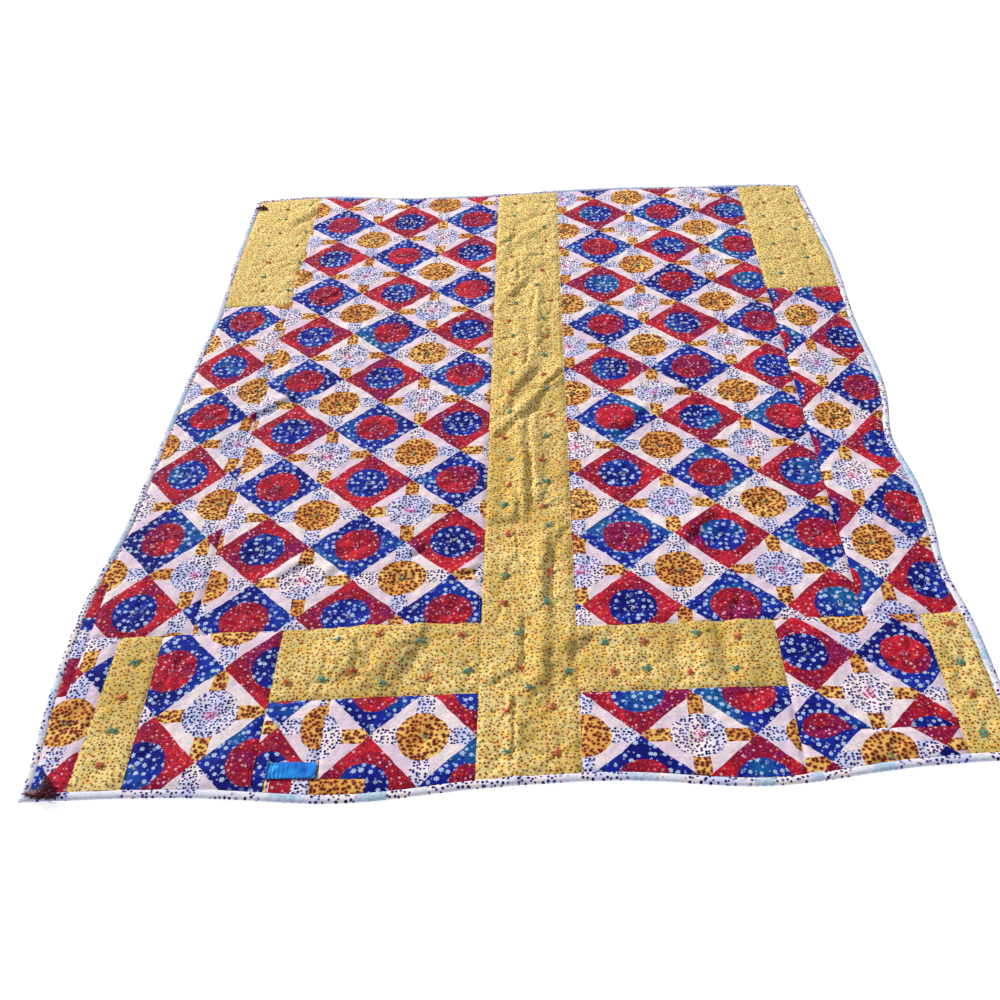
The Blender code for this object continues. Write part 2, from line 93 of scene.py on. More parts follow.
folds = (  # start X Y, end X Y, half width, height: the same as in the solids
    (-0.015, -0.387, -0.016, -0.072, 0.012, 0.0065), (0.023, -0.369, 0.020, -0.076, 0.011, 0.0050),
    (-0.020, -0.064, 0.087, 0.125, 0.014, 0.0075), (-0.063, -0.032, 0.012, 0.207, 0.014, 0.0060),
    (0.025, 0.250, 0.026, 0.561, 0.012, 0.0070), (-0.021, 0.139, -0.023, 0.392, 0.013, 0.0040),
    (-0.047, 0.525, -0.006, 0.744, 0.014, 0.0060), (0.010, 0.677, 0.093, 0.745, 0.015, 0.0040),
    (-0.073, 0.785, 0.051, 0.920, 0.016, 0.0045), (-0.018, -1.143, -0.019, -1.006, 0.012, 0.0045),
    (0.038, -0.928, 0.038, -0.495, 0.014, 0.0055), (-0.271, -0.930, -0.221, -0.773, 0.020, 0.0065),
    (-0.416, -0.850, -0.331, -0.777, 0.020, 0.0045), (0.361, -0.915, 0.363, -0.774, 0.020, 0.0050),
    (0.444, -0.902, 0.447, -0.761, 0.020, 0.0050), (-0.670, -0.005, -0.585, 0.027, 0.020, 0.0050),
    (0.452, 0.134, 0.452, 0.134, 0.040, 0.0060), (0.231, -0.065, 0.231, -0.065, 0.040, 0.0060),
    (0.226, 0.773, 0.226, 0.773, 0.040, 0.0055), (0.448, 0.594, 0.448, 0.594, 0.040, 0.0060),
    (-0.491, 0.328, -0.470, 0.349, 0.045, 0.0050), (-0.268, 0.639, -0.268, 0.659, 0.040, 0.0045),
    (-0.819, -0.110, -0.808, 0.051, 0.040, 0.0050), (0.806, -0.479, 0.814, -0.379, 0.045, 0.0050),
    (0.338, -0.475, 0.358, -0.394, 0.045, 0.0045), (-0.298, -0.466, -0.277, -0.395, 0.045, 0.0045),
)

creases = (  # start X Y, end X Y, half width, depth below or height above
    (-0.008, 0.140, 0.008, 0.255, 0.0055, -0.0030), (0.006, 0.412, 0.023, 0.560, 0.0055, -0.0024),
    (0.005, -0.050, 0.090, 0.118, 0.0055, -0.0034), (0.006, -0.380, 0.005, -0.065, 0.0055, -0.0022),
    (-0.031, 0.550, -0.023, 0.700, 0.0065, -0.0026), (-0.014, 0.570, 0.036, 0.650, 0.0065, -0.0022),
    (0.007, -0.635, 0.057, -0.490, 0.0120, -0.0020),
    (-0.382, -0.790, -0.332, -0.842, 0.0050, -0.0044), (-0.332, -0.842, -0.297, -0.925, 0.0080, -0.0030),
    (0.311, -0.930, 0.310, -0.765, 0.0130, -0.0036), (0.403, -0.925, 0.401, -0.760, 0.0130, -0.0036),
    (-0.675, -0.008, -0.580, 0.034, 0.0080, -0.0044), (-0.030, 0.930, 0.060, 1.020, 0.0110, -0.0026),
)

pleats = (  # the valley's X Y at both ends, width of the long face on its left, crest, valley
    (-0.089, 0.773, -0.015, 0.876, 0.022, 0.0046, -0.0023),
    (-0.026, 0.587, -0.026, 0.704, 0.012, 0.0021, -0.0025),
    (-0.045, 0.494, 0.022, 0.602, 0.018, 0.0042, -0.0026),
    (0.012, 0.411, 0.025, 0.524, 0.010, 0.0020, -0.0029),
    (-0.004, 0.147, 0.004, 0.231, 0.010, 0.0020, -0.0031),
    (-0.024, 0.035, 0.037, 0.136, 0.022, 0.0051, -0.0026),
    (0.045, 0.055, 0.096, 0.120, 0.012, 0.0022, -0.0026),
    (-0.072, -0.159, -0.022, -0.092, 0.020, 0.0043, -0.0026),
    (-0.025, -0.100, 0.039, -0.019, 0.026, 0.0061, -0.0034),
    (0.011, -0.435, 0.015, -0.216, 0.017, 0.0044, -0.0039),
    (-0.015, -0.445, -0.018, -0.330, 0.013, 0.0029, -0.0034),
    (-0.090, -0.476, -0.019, -0.471, 0.034, 0.0049, -0.0031),
    (-0.015, -0.578, -0.018, -0.495, 0.010, 0.0015, -0.0029),
    (0.057, -0.619, 0.069, -0.519, 0.026, 0.0054, -0.0031),
    (0.074, -0.526, 0.100, -0.477, 0.018, 0.0034, -0.0026),
    (0.057, -0.728, 0.057, -0.588, 0.030, 0.0061, -0.0034),
    (-0.003, -0.901, -0.002, -0.751, 0.014, 0.0040, -0.0046),
    (0.056, -0.964, 0.055, -0.818, 0.026, 0.0044, -0.0034),
    (-0.020, -1.103, -0.019, -0.958, 0.011, 0.0030, -0.0042),
    (0.008, -0.988, 0.045, -0.927, 0.024, 0.0036, -0.0028),
    (0.092, -0.867, 0.145, -0.807, 0.034, 0.0067, -0.0034),
    (-0.074, -0.939, -0.013, -0.899, 0.020, 0.0032, -0.0034),
    (-0.266, -0.956, -0.201, -0.812, 0.066, 0.0118, -0.0058),
    (-0.345, -0.925, -0.300, -0.830, 0.044, 0.0058, -0.0030),
    (-0.333, -0.842, -0.370, -0.784, 0.014, 0.0032, -0.0046),
    (-0.714, -0.073, -0.604, 0.021, 0.022, 0.0044, -0.0034),
    (-0.690, 0.615, -0.633, 0.688, 0.016, 0.0032, -0.0028),
    (-0.617, 0.488, -0.532, 0.567, 0.020, 0.0032, -0.0026),
    (0.226, -0.162, 0.332, -0.048, 0.030, 0.0044, -0.0032),
    (0.364, -0.550, 0.447, -0.448, 0.030, 0.0040, -0.0030),
    (0.428, -0.767, 0.451, -0.699, 0.014, 0.0026, -0.0032),
    (-0.548, -0.646, -0.467, -0.577, 0.022, 0.0038, -0.0030),
    (-0.429, -0.642, -0.402, -0.578, 0.018, 0.0030, -0.0026),
    (-0.261, -0.578, -0.212, -0.535, 0.016, 0.0030, -0.0026),
    (-0.161, -0.650, -0.097, -0.609, 0.018, 0.0032, -0.0028),
    (-0.766, 0.938, -0.663, 1.096, 0.030, 0.0044, -0.0026),
    (0.312, -0.014, 0.451, 0.042, 0.020, 0.0034, -0.0028),
)

printPanels = {  # seams; lattice: X Y of one diamond, repeats, row slope, column lean, parity, mirrored
    "print_main_left": {"sides": ("side_left", "band_left", "row_left", "edge"),
                        "lattice": (-0.3820, -0.7443, 0.2170, 0.2137, 0.042, 0.000, 0, False)},
    "print_main_right": {"sides": ("band_right", "side_right", "row_right", "edge"),
                         "lattice": (0.2257, -0.7259, 0.2155, 0.2143, -0.005, -0.004, 0, False)},
    "print_side_left": {"sides": ("edge", "side_left", "row_left", "far_block"),
                        "lattice": (-0.8294, -0.2761, 0.2020, 0.2255, 0.030, 0.028, 0, True)},
    "print_side_right": {"sides": ("side_right", "edge", "row_right", "far_block"),
                         "lattice": (0.8640, 0.0250, 0.1900, 0.2283, 0.000, 0.006, 1, True)},
    "print_edge_near_left": {"sides": ("edge", "edge_piece", "edge", "row_left"),
                             "lattice": (-1.0123, -0.8989, 0.2214, 0.2400, 0.040, 0.000, 0, True),
                             "heldRow": -1.0},  # below this row the tuft has pulled the print out long
    "print_near_left": {"sides": ("near_left_strip", "cross_left_end", "edge", "row_left"),
                        "lattice": (-0.7246, -0.8876, 0.2200, 0.2274, 0.040, 0.040, 1, True)},
    "print_under_left_outer": {"sides": ("cross_left_end", "under_left", "edge", "under_cross_left"),
                               "lattice": (-0.4759, -0.9213, 0.1750, 0.2160, 0.000, 0.042, 1, False)},
    "print_under_left_inner": {"sides": ("under_left", "band_left", "edge", "under_cross_left"),
                               "lattice": (-0.2968, -0.9402, 0.2060, 0.2262, 0.000, 0.018, 1, False)},
    "print_under_right": {"sides": ("band_right", "cross_right_end", "edge", "under_cross_right"),
                          "lattice": (0.2187, -0.9539, 0.2178, 0.2010, 0.000, -0.006, 0, False)},
    "print_near_right_upper": {"sides": ("cross_right_end", "near_right_strip", "near_right", "row_right"),
                               "lattice": (0.5602, -0.8544, 0.1989, 0.1980, -0.046, -0.052, 0, False)},
    "print_near_right_lower": {"sides": ("cross_right_end", "near_right_strip", "edge", "near_right"),
                               "lattice": (0.5664, -1.0155, 0.2137, 0.2000, 0.157, 0.000, 1, False)},
}

yellowPanels = {  # seams, X Y of one tie, spacing across and along, which colour starts
    "yellow_centre": {"sides": ("band_left", "band_right", "edge", "edge"),
                      "ties": (-0.0435, 0.0274, 0.092, 0.088, 0)},
    "yellow_far_left": {"sides": ("edge", "side_left", "far_block", "edge"),
                        "ties": (-0.8058, 0.5650, 0.088, 0.088, 0)},
    "yellow_far_right": {"sides": ("side_right", "edge", "far_block", "edge"),
                         "ties": (0.7538, 0.5944, 0.088, 0.088, 1)},
    "yellow_cross_left": {"sides": ("cross_left_end", "band_left", "under_cross_left", "row_left"),
                          "ties": (-0.4615, -0.9176, 0.088, 0.088, 0)},
    "yellow_cross_right": {"sides": ("band_right", "cross_right_end", "under_cross_right", "row_right"),
                           "ties": (0.1600, -0.9030, 0.088, 0.088, 1)},
    "yellow_near_left": {"sides": ("edge_piece", "near_left_strip", "edge", "row_left"),
                         "ties": (-0.8083, -1.1261, 0.088, 0.088, 0)},
    "yellow_near_right": {"sides": ("near_right_strip", "edge", "edge", "row_right"),
                          "ties": (0.8622, -1.0552, 0.088, 0.088, 1)},
}

random = np.random.default_rng(quilt["seed"])


def betweenEnds(ends, along, length):
    return ends[0] + (ends[1] - ends[0]) * (along / length + 0.5)


def edgeAt(side, along, inset=0.0):
    along = np.asarray(along, dtype=float)
    length = quilt["width"] if side in ("near", "far") else quilt["length"]
    out = betweenEnds(edges[side]["ends"], along, length)
    for place, spread, wave in edges[side]["waves"]:
        out = out + wave * np.exp(-0.5 * ((along - place) / spread) ** 2)
    sign = 1 if side in ("far", "right") else -1
    return sign * (out - inset)


def sideAt(panel, side, seam, along):
    # a let-in strip takes a bite out of four of the panels
    if seam == "edge":
        line = edgeAt(side, along, quilt["binding"] + quilt["gap"])
        bite = strips["left"]
        if side == "left" and panel in ("print_side_left", "print_edge_near_left"):
            line = np.where((along > bite["near"]) & (along < bite["far"]), bite["inner"], line)
        bite = strips["near"]
        if side == "near" and panel in ("print_under_left_outer", "print_under_left_inner"):
            line = np.where((along > bite["left"]) & (along < bite["right"]), bite["inner"], line)
        return line
    inwards = quilt["gap"] / 2 * (1 if side in ("left", "near") else -1)
    if seam in crossSeams:
        return betweenEnds(crossSeams[seam], along, quilt["width"]) + inwards
    return betweenEnds(longSeams[seam], along, quilt["length"]) + inwards


def gridPlaces(length, step, extra=()):
    # places from 0 to 1 along a side: close together at both seams, even in between
    near = np.array([0.0, 0.0010, 0.0024, 0.0042, 0.0066, 0.0100])
    count = max(2, int(round((length - 0.02) / step)))
    middle = np.linspace(0.0100, length - 0.0100, count + 1)[1:-1]
    places = np.concatenate([near, middle, length - near[::-1]]) / length
    for place in extra:
        places = places[np.abs(places - place) > 0.0014 / length]
        places = np.sort(np.append(places, (place - 0.0003 / length, place + 0.0003 / length)))
    return places


def panelGrid(panel, sides, step):
    # X and Y of a panel's mesh, bent between its four sides
    left, right, near, far = sides
    middleX = [float(sideAt(panel, "left", left, 0.0 if left != "edge" else -0.3)),
               float(sideAt(panel, "right", right, 0.0))]
    lowY, highY = (float(sideAt(panel, name, seam, np.mean(middleX)))
                   for name, seam in (("near", near), ("far", far)))
    acrossExtra, alongExtra = [], []
    if panel in ("print_side_left", "print_edge_near_left"):
        cut = strips["left"]["far"] if panel == "print_side_left" else strips["left"]["near"]
        x = float(sideAt("", "left", left, cut))
        ends = [float(sideAt(panel, name, seam, x)) for name, seam in (("near", near), ("far", far))]
        alongExtra = [(cut - ends[0]) / (ends[1] - ends[0])]
    if panel in ("print_under_left_outer", "print_under_left_inner"):
        cut = strips["near"]["left"] if panel == "print_under_left_outer" else strips["near"]["right"]
        y = float(sideAt("", "near", near, cut))
        ends = [float(sideAt(panel, name, seam, y)) for name, seam in (("left", left), ("right", right))]
        acrossExtra = [(cut - ends[0]) / (ends[1] - ends[0])]
    across = gridPlaces(middleX[1] - middleX[0], step, acrossExtra)
    along = gridPlaces(highY - lowY, step, alongExtra)
    s, t = np.meshgrid(across, along)
    x = middleX[0] + s * (middleX[1] - middleX[0])
    y = lowY + t * (highY - lowY)
    for _ in range(6):
        leftX, rightX = sideAt(panel, "left", left, y), sideAt(panel, "right", right, y)
        x = leftX + s * (rightX - leftX)
        nearY, farY = sideAt(panel, "near", near, x), sideAt(panel, "far", far, x)
        y = nearY + t * (farY - nearY)
    return x, y, s, t


def lineDistance(x, y, line):
    startX, startY, endX, endY = line
    runX, runY = endX - startX, endY - startY
    length = runX ** 2 + runY ** 2
    share = ((x - startX) * runX + (y - startY) * runY) / length if length > 0 else np.zeros_like(x)
    held = np.clip(share, 0.0, 1.0)
    return np.hypot(x - startX - held * runX, y - startY - held * runY), share


def smoothNoise(x, y, size, shift):
    # soft noise of about one hill per size, from turned waves with a fixed seed
    waves = np.random.default_rng(shift)
    height = np.zeros_like(x)
    for count in range(9):
        turn = waves.uniform(0, 2 * math.pi)
        pace = 2 * math.pi / size * waves.uniform(0.55, 1.35)
        bend = 0.9 * np.sin((x * math.cos(turn + 1.3) + y * math.sin(turn + 1.3)) * pace * 0.43 + count)
        height = height + np.sin((x * math.cos(turn) + y * math.sin(turn)) * pace
                                 + bend + waves.uniform(0, 6.28))
    return height / 4.5


def foldHeight(x, y):
    height = np.zeros_like(x)
    for row in folds:
        distance, _ = lineDistance(x, y, row[:4])
        height = np.maximum(height, row[5] * np.exp(-0.5 * (distance / row[4]) ** 2))
    return height


def creaseHeight(x, y):
    # every crease wanders a little and fades out at its ends
    height = np.zeros_like(x)
    wander = 0.004 * smoothNoise(x, y, 0.09, 3)
    for row in creases:
        distance, share = lineDistance(x + wander, y + wander, row[:4])
        fade = np.clip(np.minimum(share, 1 - share) * 5 + 0.35, 0.0, 1.0)
        height = height + row[5] * fade * np.exp(-0.5 * (distance / row[4]) ** 2)
    return height


def pleatHeight(x, y):
    # the cloth falls slowly down one long face into a valley and climbs quickly out of it
    height = np.zeros_like(x)
    wander = 0.0030 * smoothNoise(x, y, 0.06, 4)
    for startX, startY, endX, endY, wide, crest, valley in pleats:
        runX, runY = endX - startX, endY - startY
        length = math.hypot(runX, runY)
        share = ((x - startX) * runX + (y - startY) * runY) / length ** 2
        across = ((y - startY) * runX - (x - startX) * runY) / length + wander
        fade = np.clip((np.minimum(share, 1 - share) + 0.18) / 0.42, 0, 1)
        face = valley + (crest - valley) * (0.5 - 0.5 * np.cos(math.pi * np.clip(across / wide, 0, 1)))
        beyond = crest * np.exp(-0.5 * (np.maximum(across - wide, 0) / (0.75 * wide)) ** 2)
        climb = valley * np.exp(-0.5 * (across / (0.17 * wide)) ** 2)
        shape = np.where(across > wide, beyond, np.where(across > 0, face, climb))
        height = height + shape * fade * fade * (3 - 2 * fade)
    return height


tiePlaces = {}  # panel: list of x, y, kind

handTies = {  # X, Y, colour of the ties nearest the camera
    "yellow_cross_left": (
        (-0.389, -0.818, "teal"), (-0.303, -0.803, "brick"),
         (-0.217, -0.815, "teal"), (-0.132, -0.800, "brick"),
        (-0.481, -0.921, "brick"), (-0.412, -0.912, "teal"),
         (-0.351, -0.897, "brick"), (-0.285, -0.926, "teal"),
        (-0.198, -0.912, "brick"), (-0.118, -0.893, "teal")),
    "yellow_cross_right": (
        (0.162, -0.821, "teal"), (0.242, -0.822, "brick"), (0.350, -0.805, "teal"), (0.432, -0.817, "brick"),
        (0.175, -0.901, "brick"), (0.242, -0.890, "teal"), (0.330, -0.904, "brick"), (0.418, -0.895, "teal")),
    "yellow_centre": (
        (-0.035, -1.091, "teal"), (0.061, -1.090, "brick"),
         (-0.036, -0.996, "brick"), (0.052, -0.984, "brick"),
        (-0.008, -0.887, "brick"), (0.086, -0.895, "teal"), (-0.014, -0.798, "teal"), (0.005, -0.942, "teal"),
        (-0.049, -0.713, "brick"), (0.045, -0.713, "teal"),
         (0.050, -0.622, "brick"), (-0.044, -0.630, "teal")),
}


def latticePlace(lattice, a, b):
    originX, originY, repeatX, repeatY, slope, lean = lattice[:6]
    # x = originX + a * repeatX + lean * (y - originY), y = originY + b * repeatY + slope * (x - originX)
    dx = (a * repeatX + lean * b * repeatY) / (1 - lean * slope)
    dy = b * repeatY + slope * dx
    return originX + dx, originY + dy


def insidePanel(panel, sides, x, y, margin):
    left, right, near, far = sides
    return (x > sideAt(panel, "left", left, y) + margin and x < sideAt(panel, "right", right, y) - margin
            and y > sideAt(panel, "near", near, x) + margin and y < sideAt(panel, "far", far, x) - margin)


def noteTies():
    # a yarn tie in the middle of every diamond and square of the print, and in rows on the yellow cloth
    for panel, facts in printPanels.items():
        lattice = facts["lattice"]
        found = []
        for i in range(-12, 13):
            for j in range(-12, 13):
                for half in (0.0, 0.5):
                    x, y = latticePlace(lattice, i + half, j + half)
                    if not (abs(x) < 1.3 and abs(y) < 1.5):
                        continue
                    if not insidePanel(panel, facts["sides"], x, y, 0.012):
                        continue
                    red = (i + j + lattice[6]) % 2 == 0
                    if half == 0.0:
                        kind = "white" if red else "rose"
                    else:
                        mustard = red != lattice[7]
                        kind = "teal" if mustard else "pink"
                    found.append((x + random.normal(0, 0.002), y + random.normal(0, 0.002), kind))
        tiePlaces[panel] = found
    for panel, facts in yellowPanels.items():
        originX, originY, stepX, stepY, first = facts["ties"]
        found = []
        for i in range(-24, 25):
            for j in range(-30, 31):
                x, y = originX + i * stepX, originY + j * stepY
                if not insidePanel(panel, facts["sides"], x, y, 0.014):
                    continue
                if panel in handTies and (panel != "yellow_centre" or y < -0.58):
                    continue
                kind = "teal" if (i + j + first) % 2 else "brick"
                found.append((x + random.normal(0, 0.007), y + random.normal(0, 0.007), kind))
        tiePlaces[panel] = found + list(handTies.get(panel, ()))


relief = {
    "tieDip": 0.0034, "tieReach": 0.016,      # how far a tie draws the top down, and how far round
    "rays": 0.0017, "raysReach": 0.026,       # puckers that run out from a tie
    "hills": 0.0022, "hillSize": 0.22,        # the whole cloth isn't quite flat
    "crinkle": 0.00085, "crinkleSize": 0.046,
    "gathers": 0.0011, "gatherSize": 0.030,   # lengthwise wrinkles of the yellow cloth
    "seamDepth": 0.0022, "seamWidth": 0.0046,
    "ripple": 0.00055, "rippleSize": 0.017, "rippleReach": 0.011,
}


def gathers(x, y):
    # long wandering wrinkles, mostly up the strip and a little askew
    bend = 0.018 * smoothNoise(x, y, 0.16, 41)
    height = np.zeros_like(x)
    for turn, share, shift in ((0.35, 1.0, 43), (0.85, 0.8, 44), (-0.25, 0.6, 45)):
        across = (x + bend) * math.cos(turn) - (y + bend) * math.sin(turn)
        held = np.clip(0.35 + 0.75 * smoothNoise(x, y, 0.15, shift), 0, 1.3)
        wave = np.sin(across * 2 * math.pi / relief["gatherSize"] + 2.0 * smoothNoise(x, y, 0.11, shift + 5))
        height = height + share * held * (0.55 - np.abs(wave))
    return height


def panelTop(panel, x, y):
    # height of the top without what happens at the seams
    z = quilt["loft"] + foldHeight(x, y) + creaseHeight(x, y) + pleatHeight(x, y)
    z = z + relief["hills"] * (0.5 + 0.5 * smoothNoise(x, y, relief["hillSize"], 21))
    z = z + relief["crinkle"] * smoothNoise(x, y, relief["crinkleSize"], 5)
    z = z + 0.7 * relief["crinkle"] * smoothNoise(x, y, relief["crinkleSize"] * 0.45, 8)
    if panel.startswith("yellow"):
        z = z - relief["gathers"] * (1.0 if panel == "yellow_centre" else 0.55) * gathers(x, y)
    turned = np.random.default_rng(17)
    for tieX, tieY, kind in tiePlaces.get(panel, ()):
        spin, rays = turned.uniform(0, 6.28), turned.integers(4, 8)
        deep = turned.uniform(0.6, 1.3) * (0.75 if panel.startswith("yellow") else 1.0)
        close = (np.abs(x - tieX) < 0.08) & (np.abs(y - tieY) < 0.08)
        r = np.hypot(x[close] - tieX, y[close] - tieY)
        angle = np.arctan2(y[close] - tieY, x[close] - tieX)
        dip = relief["tieDip"] * deep * np.exp(-0.5 * (r / relief["tieReach"]) ** 2)
        ray = relief["rays"] * deep * np.cos(rays * angle + spin + 1.5 * np.sin(angle + spin))
        ray = ray * (r / relief["raysReach"]) * np.exp(0.5 - 0.5 * (r / relief["raysReach"]) ** 2)
        z[close] += ray - dip
    return z


def seamRelief(x, y, edgeDistances):
    # the cloth rolls down into each seam and ripples along it
    z = np.zeros_like(x)
    for distance, along in edgeDistances:
        z = z - relief["seamDepth"] * np.exp(-0.5 * (distance / relief["seamWidth"]) ** 2)
        pace = 2 * math.pi / relief["rippleSize"]
        wave = np.sin(along * pace + 1.4 * np.sin(along * pace * 0.31) + 2.2 * np.sin(along * 9.0))
        z = z + (relief["ripple"] * wave * np.exp(-distance / relief["rippleReach"])
                 * np.clip(distance / 0.003, 0, 1))
    return z


def sheetFaces(rows, columns):
    # faces of a closed sheet of two grids: the top, the underside and the wall round them
    count = rows * columns
    index = np.arange(count).reshape(rows, columns)
    upper = np.stack([index[:-1, :-1], index[:-1, 1:], index[1:, 1:], index[1:, :-1]], axis=-1).reshape(-1, 4)
    lower = upper[:, ::-1] + count
    rim = np.concatenate([index[0, :], index[1:, -1], index[-1, -2::-1], index[-2:0:-1, 0]])
    following = np.roll(rim, -1)
    wall = np.stack([following, rim, rim + count, following + count], axis=-1)
    return upper, lower, wall


def clothPiece(name, top, bottom, materials, pattern=None, lanes=1):
    # a closed sheet from two grids of points, with its pattern's map and its own map for baking
    rows, columns = top.shape[:2]
    upper, lower, wall = sheetFaces(rows, columns)
    faces = np.concatenate([upper, lower, wall])
    points = np.concatenate([top.reshape(-1, 3), bottom.reshape(-1, 3)])
    points = points + np.array([planShift[0], planShift[1], 0.0])
    mesh = bpy.data.meshes.new(name)
    mesh.vertices.add(len(points))
    mesh.vertices.foreach_set("co", points.ravel().astype(np.float32))
    mesh.loops.add(faces.size)
    mesh.loops.foreach_set("vertex_index", faces.ravel().astype(np.int32))
    mesh.polygons.add(len(faces))
    mesh.polygons.foreach_set("loop_start", np.arange(0, faces.size, 4, dtype=np.int32))
    mesh.polygons.foreach_set("use_smooth", np.ones(len(faces), dtype=bool))
    slots = np.zeros(len(faces), dtype=np.int32)
    slots[len(upper):len(upper) + len(lower)] = len(materials) - 1
    mesh.polygons.foreach_set("material_index", slots)
    for material in materials:
        mesh.materials.append(material)
    if pattern is not None:
        layer = mesh.uv_layers.new(name="pattern")
        flat = np.concatenate([pattern.reshape(-1, 2)] * 2)[faces.ravel()]
        layer.uv.foreach_set("vector", flat.ravel().astype(np.float32))
    addBakeMap(mesh, rows, columns, len(wall), lanes)
    mesh.update(calc_edges=True)
    mesh.validate()
    mesh.set_sharp_from_angle(angle=math.radians(62))
    piece = bpy.data.objects.new(name, mesh)
    bpy.context.scene.collection.objects.link(piece)
    return piece


def addBakeMap(mesh, rows, columns, wallCount, lanes):
    # the top fills most of the map, in lanes side by side where the piece is long
    layer = mesh.uv_layers.new(name="OFBake")
    row, column = np.meshgrid(np.arange(rows - 1), np.arange(columns - 1), indexing="ij")
    lane = np.minimum(row * lanes // (rows - 1), lanes - 1)
    firstRow = -(-lane * (rows - 1) // lanes)
    lastRow = -(-(lane + 1) * (rows - 1) // lanes)
    corners = []
    for addRow, addColumn in ((0, 0), (0, 1), (1, 1), (1, 0)):
        across = (column + addColumn) / (columns - 1)
        along = (row + addRow - firstRow) / np.maximum(lastRow - firstRow, 1)
        corners.append(np.stack([(lane + 0.02 + 0.96 * across) / lanes, along], axis=-1))
    unit = np.stack(corners, axis=2).reshape(-1, 4, 2)
    upper = unit * np.array([1.0, 0.86]) + np.array([0.0, 0.13])
    lower = unit[:, ::-1] * np.array([1.0, 0.09]) + np.array([0.0, 0.005])
    step = np.arange(wallCount) / wallCount
    wall = np.stack([np.stack([step + 1 / wallCount, np.full(wallCount, 0.112)], -1),
                     np.stack([step, np.full(wallCount, 0.112)], -1),
                     np.stack([step, np.full(wallCount, 0.104)], -1),
                     np.stack([step + 1 / wallCount, np.full(wallCount, 0.104)], -1)], axis=1)
    everything = np.concatenate([upper.reshape(-1, 2), lower.reshape(-1, 2), wall.reshape(-1, 2)])
    layer.uv.foreach_set("vector", everything.ravel().astype(np.float32))


# Node helpers

def addNode(tree, kind, **settings):
    made = tree.nodes.new(kind)
    for key, value in settings.items():
        setattr(made, key, value)
    return made


def put(tree, socket, value):
    if isinstance(value, bpy.types.NodeSocket):
        tree.links.new(value, socket)
    else:
        socket.default_value = value


def calc(tree, operation, a, b=None, c=None, clamp=False):
    made = addNode(tree, "ShaderNodeMath", operation=operation, use_clamp=clamp)
    for socket, value in zip(made.inputs, (a, b, c)):
        if value is not None:
            put(tree, socket, value)
    return made.outputs[0]


def vectorCalc(tree, operation, a, b=None, scale=None):
    made = addNode(tree, "ShaderNodeVectorMath", operation=operation)
    put(tree, made.inputs[0], a)
    if b is not None:
        put(tree, made.inputs[1], b)
    if scale is not None:
        put(tree, made.inputs["Scale"], scale)
    return made.outputs["Value"] if operation in ("LENGTH", "DISTANCE") else made.outputs["Vector"]


def mixColour(tree, share, a, b):
    made = addNode(tree, "ShaderNodeMix", data_type="RGBA")
    put(tree, made.inputs["Factor"], share)
    put(tree, made.inputs[6], a if isinstance(a, bpy.types.NodeSocket) else (*a, 1.0))
    put(tree, made.inputs[7], b if isinstance(b, bpy.types.NodeSocket) else (*b, 1.0))
    return made.outputs[2]


def noiseAt(tree, at, scale, detail=2.0, rough=0.5):
    made = addNode(tree, "ShaderNodeTexNoise")
    put(tree, made.inputs["Vector"], at)
    made.inputs["Scale"].default_value = scale
    made.inputs["Detail"].default_value = detail
    made.inputs["Roughness"].default_value = rough
    return made.outputs["Fac"]


def cells(tree, at, scale, feature="F1", chance=1.0):
    made = addNode(tree, "ShaderNodeTexVoronoi", feature=feature, voronoi_dimensions="2D")
    put(tree, made.inputs["Vector"], at)
    made.inputs["Scale"].default_value = scale
    made.inputs["Randomness"].default_value = chance
    return made


def ramp(tree, value, low, high, lowOut=0.0, highOut=1.0):
    made = addNode(tree, "ShaderNodeMapRange", interpolation_type="SMOOTHSTEP")
    put(tree, made.inputs["Value"], value)
    for socket, number in zip(list(made.inputs)[1:5], (low, high, lowOut, highOut)):
        socket.default_value = number
    return made.outputs[0]


def flower(tree, at, scale, radius, petals, depth, chance=0.8):
    # share of a petalled flower round every cell's point, and how far out one is
    found = cells(tree, at, scale, chance=chance)
    away = vectorCalc(tree, "SUBTRACT", at, found.outputs["Position"])
    distance = vectorCalc(tree, "LENGTH", away)
    split = addNode(tree, "ShaderNodeSeparateXYZ")
    put(tree, split.inputs[0], away)
    angle = calc(tree, "ARCTAN2", split.outputs[1], split.outputs[0])
    spin = addNode(tree, "ShaderNodeSeparateColor")
    put(tree, spin.inputs[0], found.outputs["Color"])
    angle = calc(tree, "ADD", angle, calc(tree, "MULTIPLY", spin.outputs[0], 6.28))
    wave = calc(tree, "COSINE", calc(tree, "MULTIPLY", angle, float(petals)))
    grow = calc(tree, "MULTIPLY_ADD", spin.outputs[1], 0.45, 0.75)
    reach = calc(tree, "MULTIPLY", calc(tree, "MULTIPLY_ADD", wave, depth, 1.0 - depth), radius)
    out = calc(tree, "DIVIDE", distance, calc(tree, "MULTIPLY", reach, grow))
    return ramp(tree, out, 1.12, 0.88), out, spin.outputs[2]


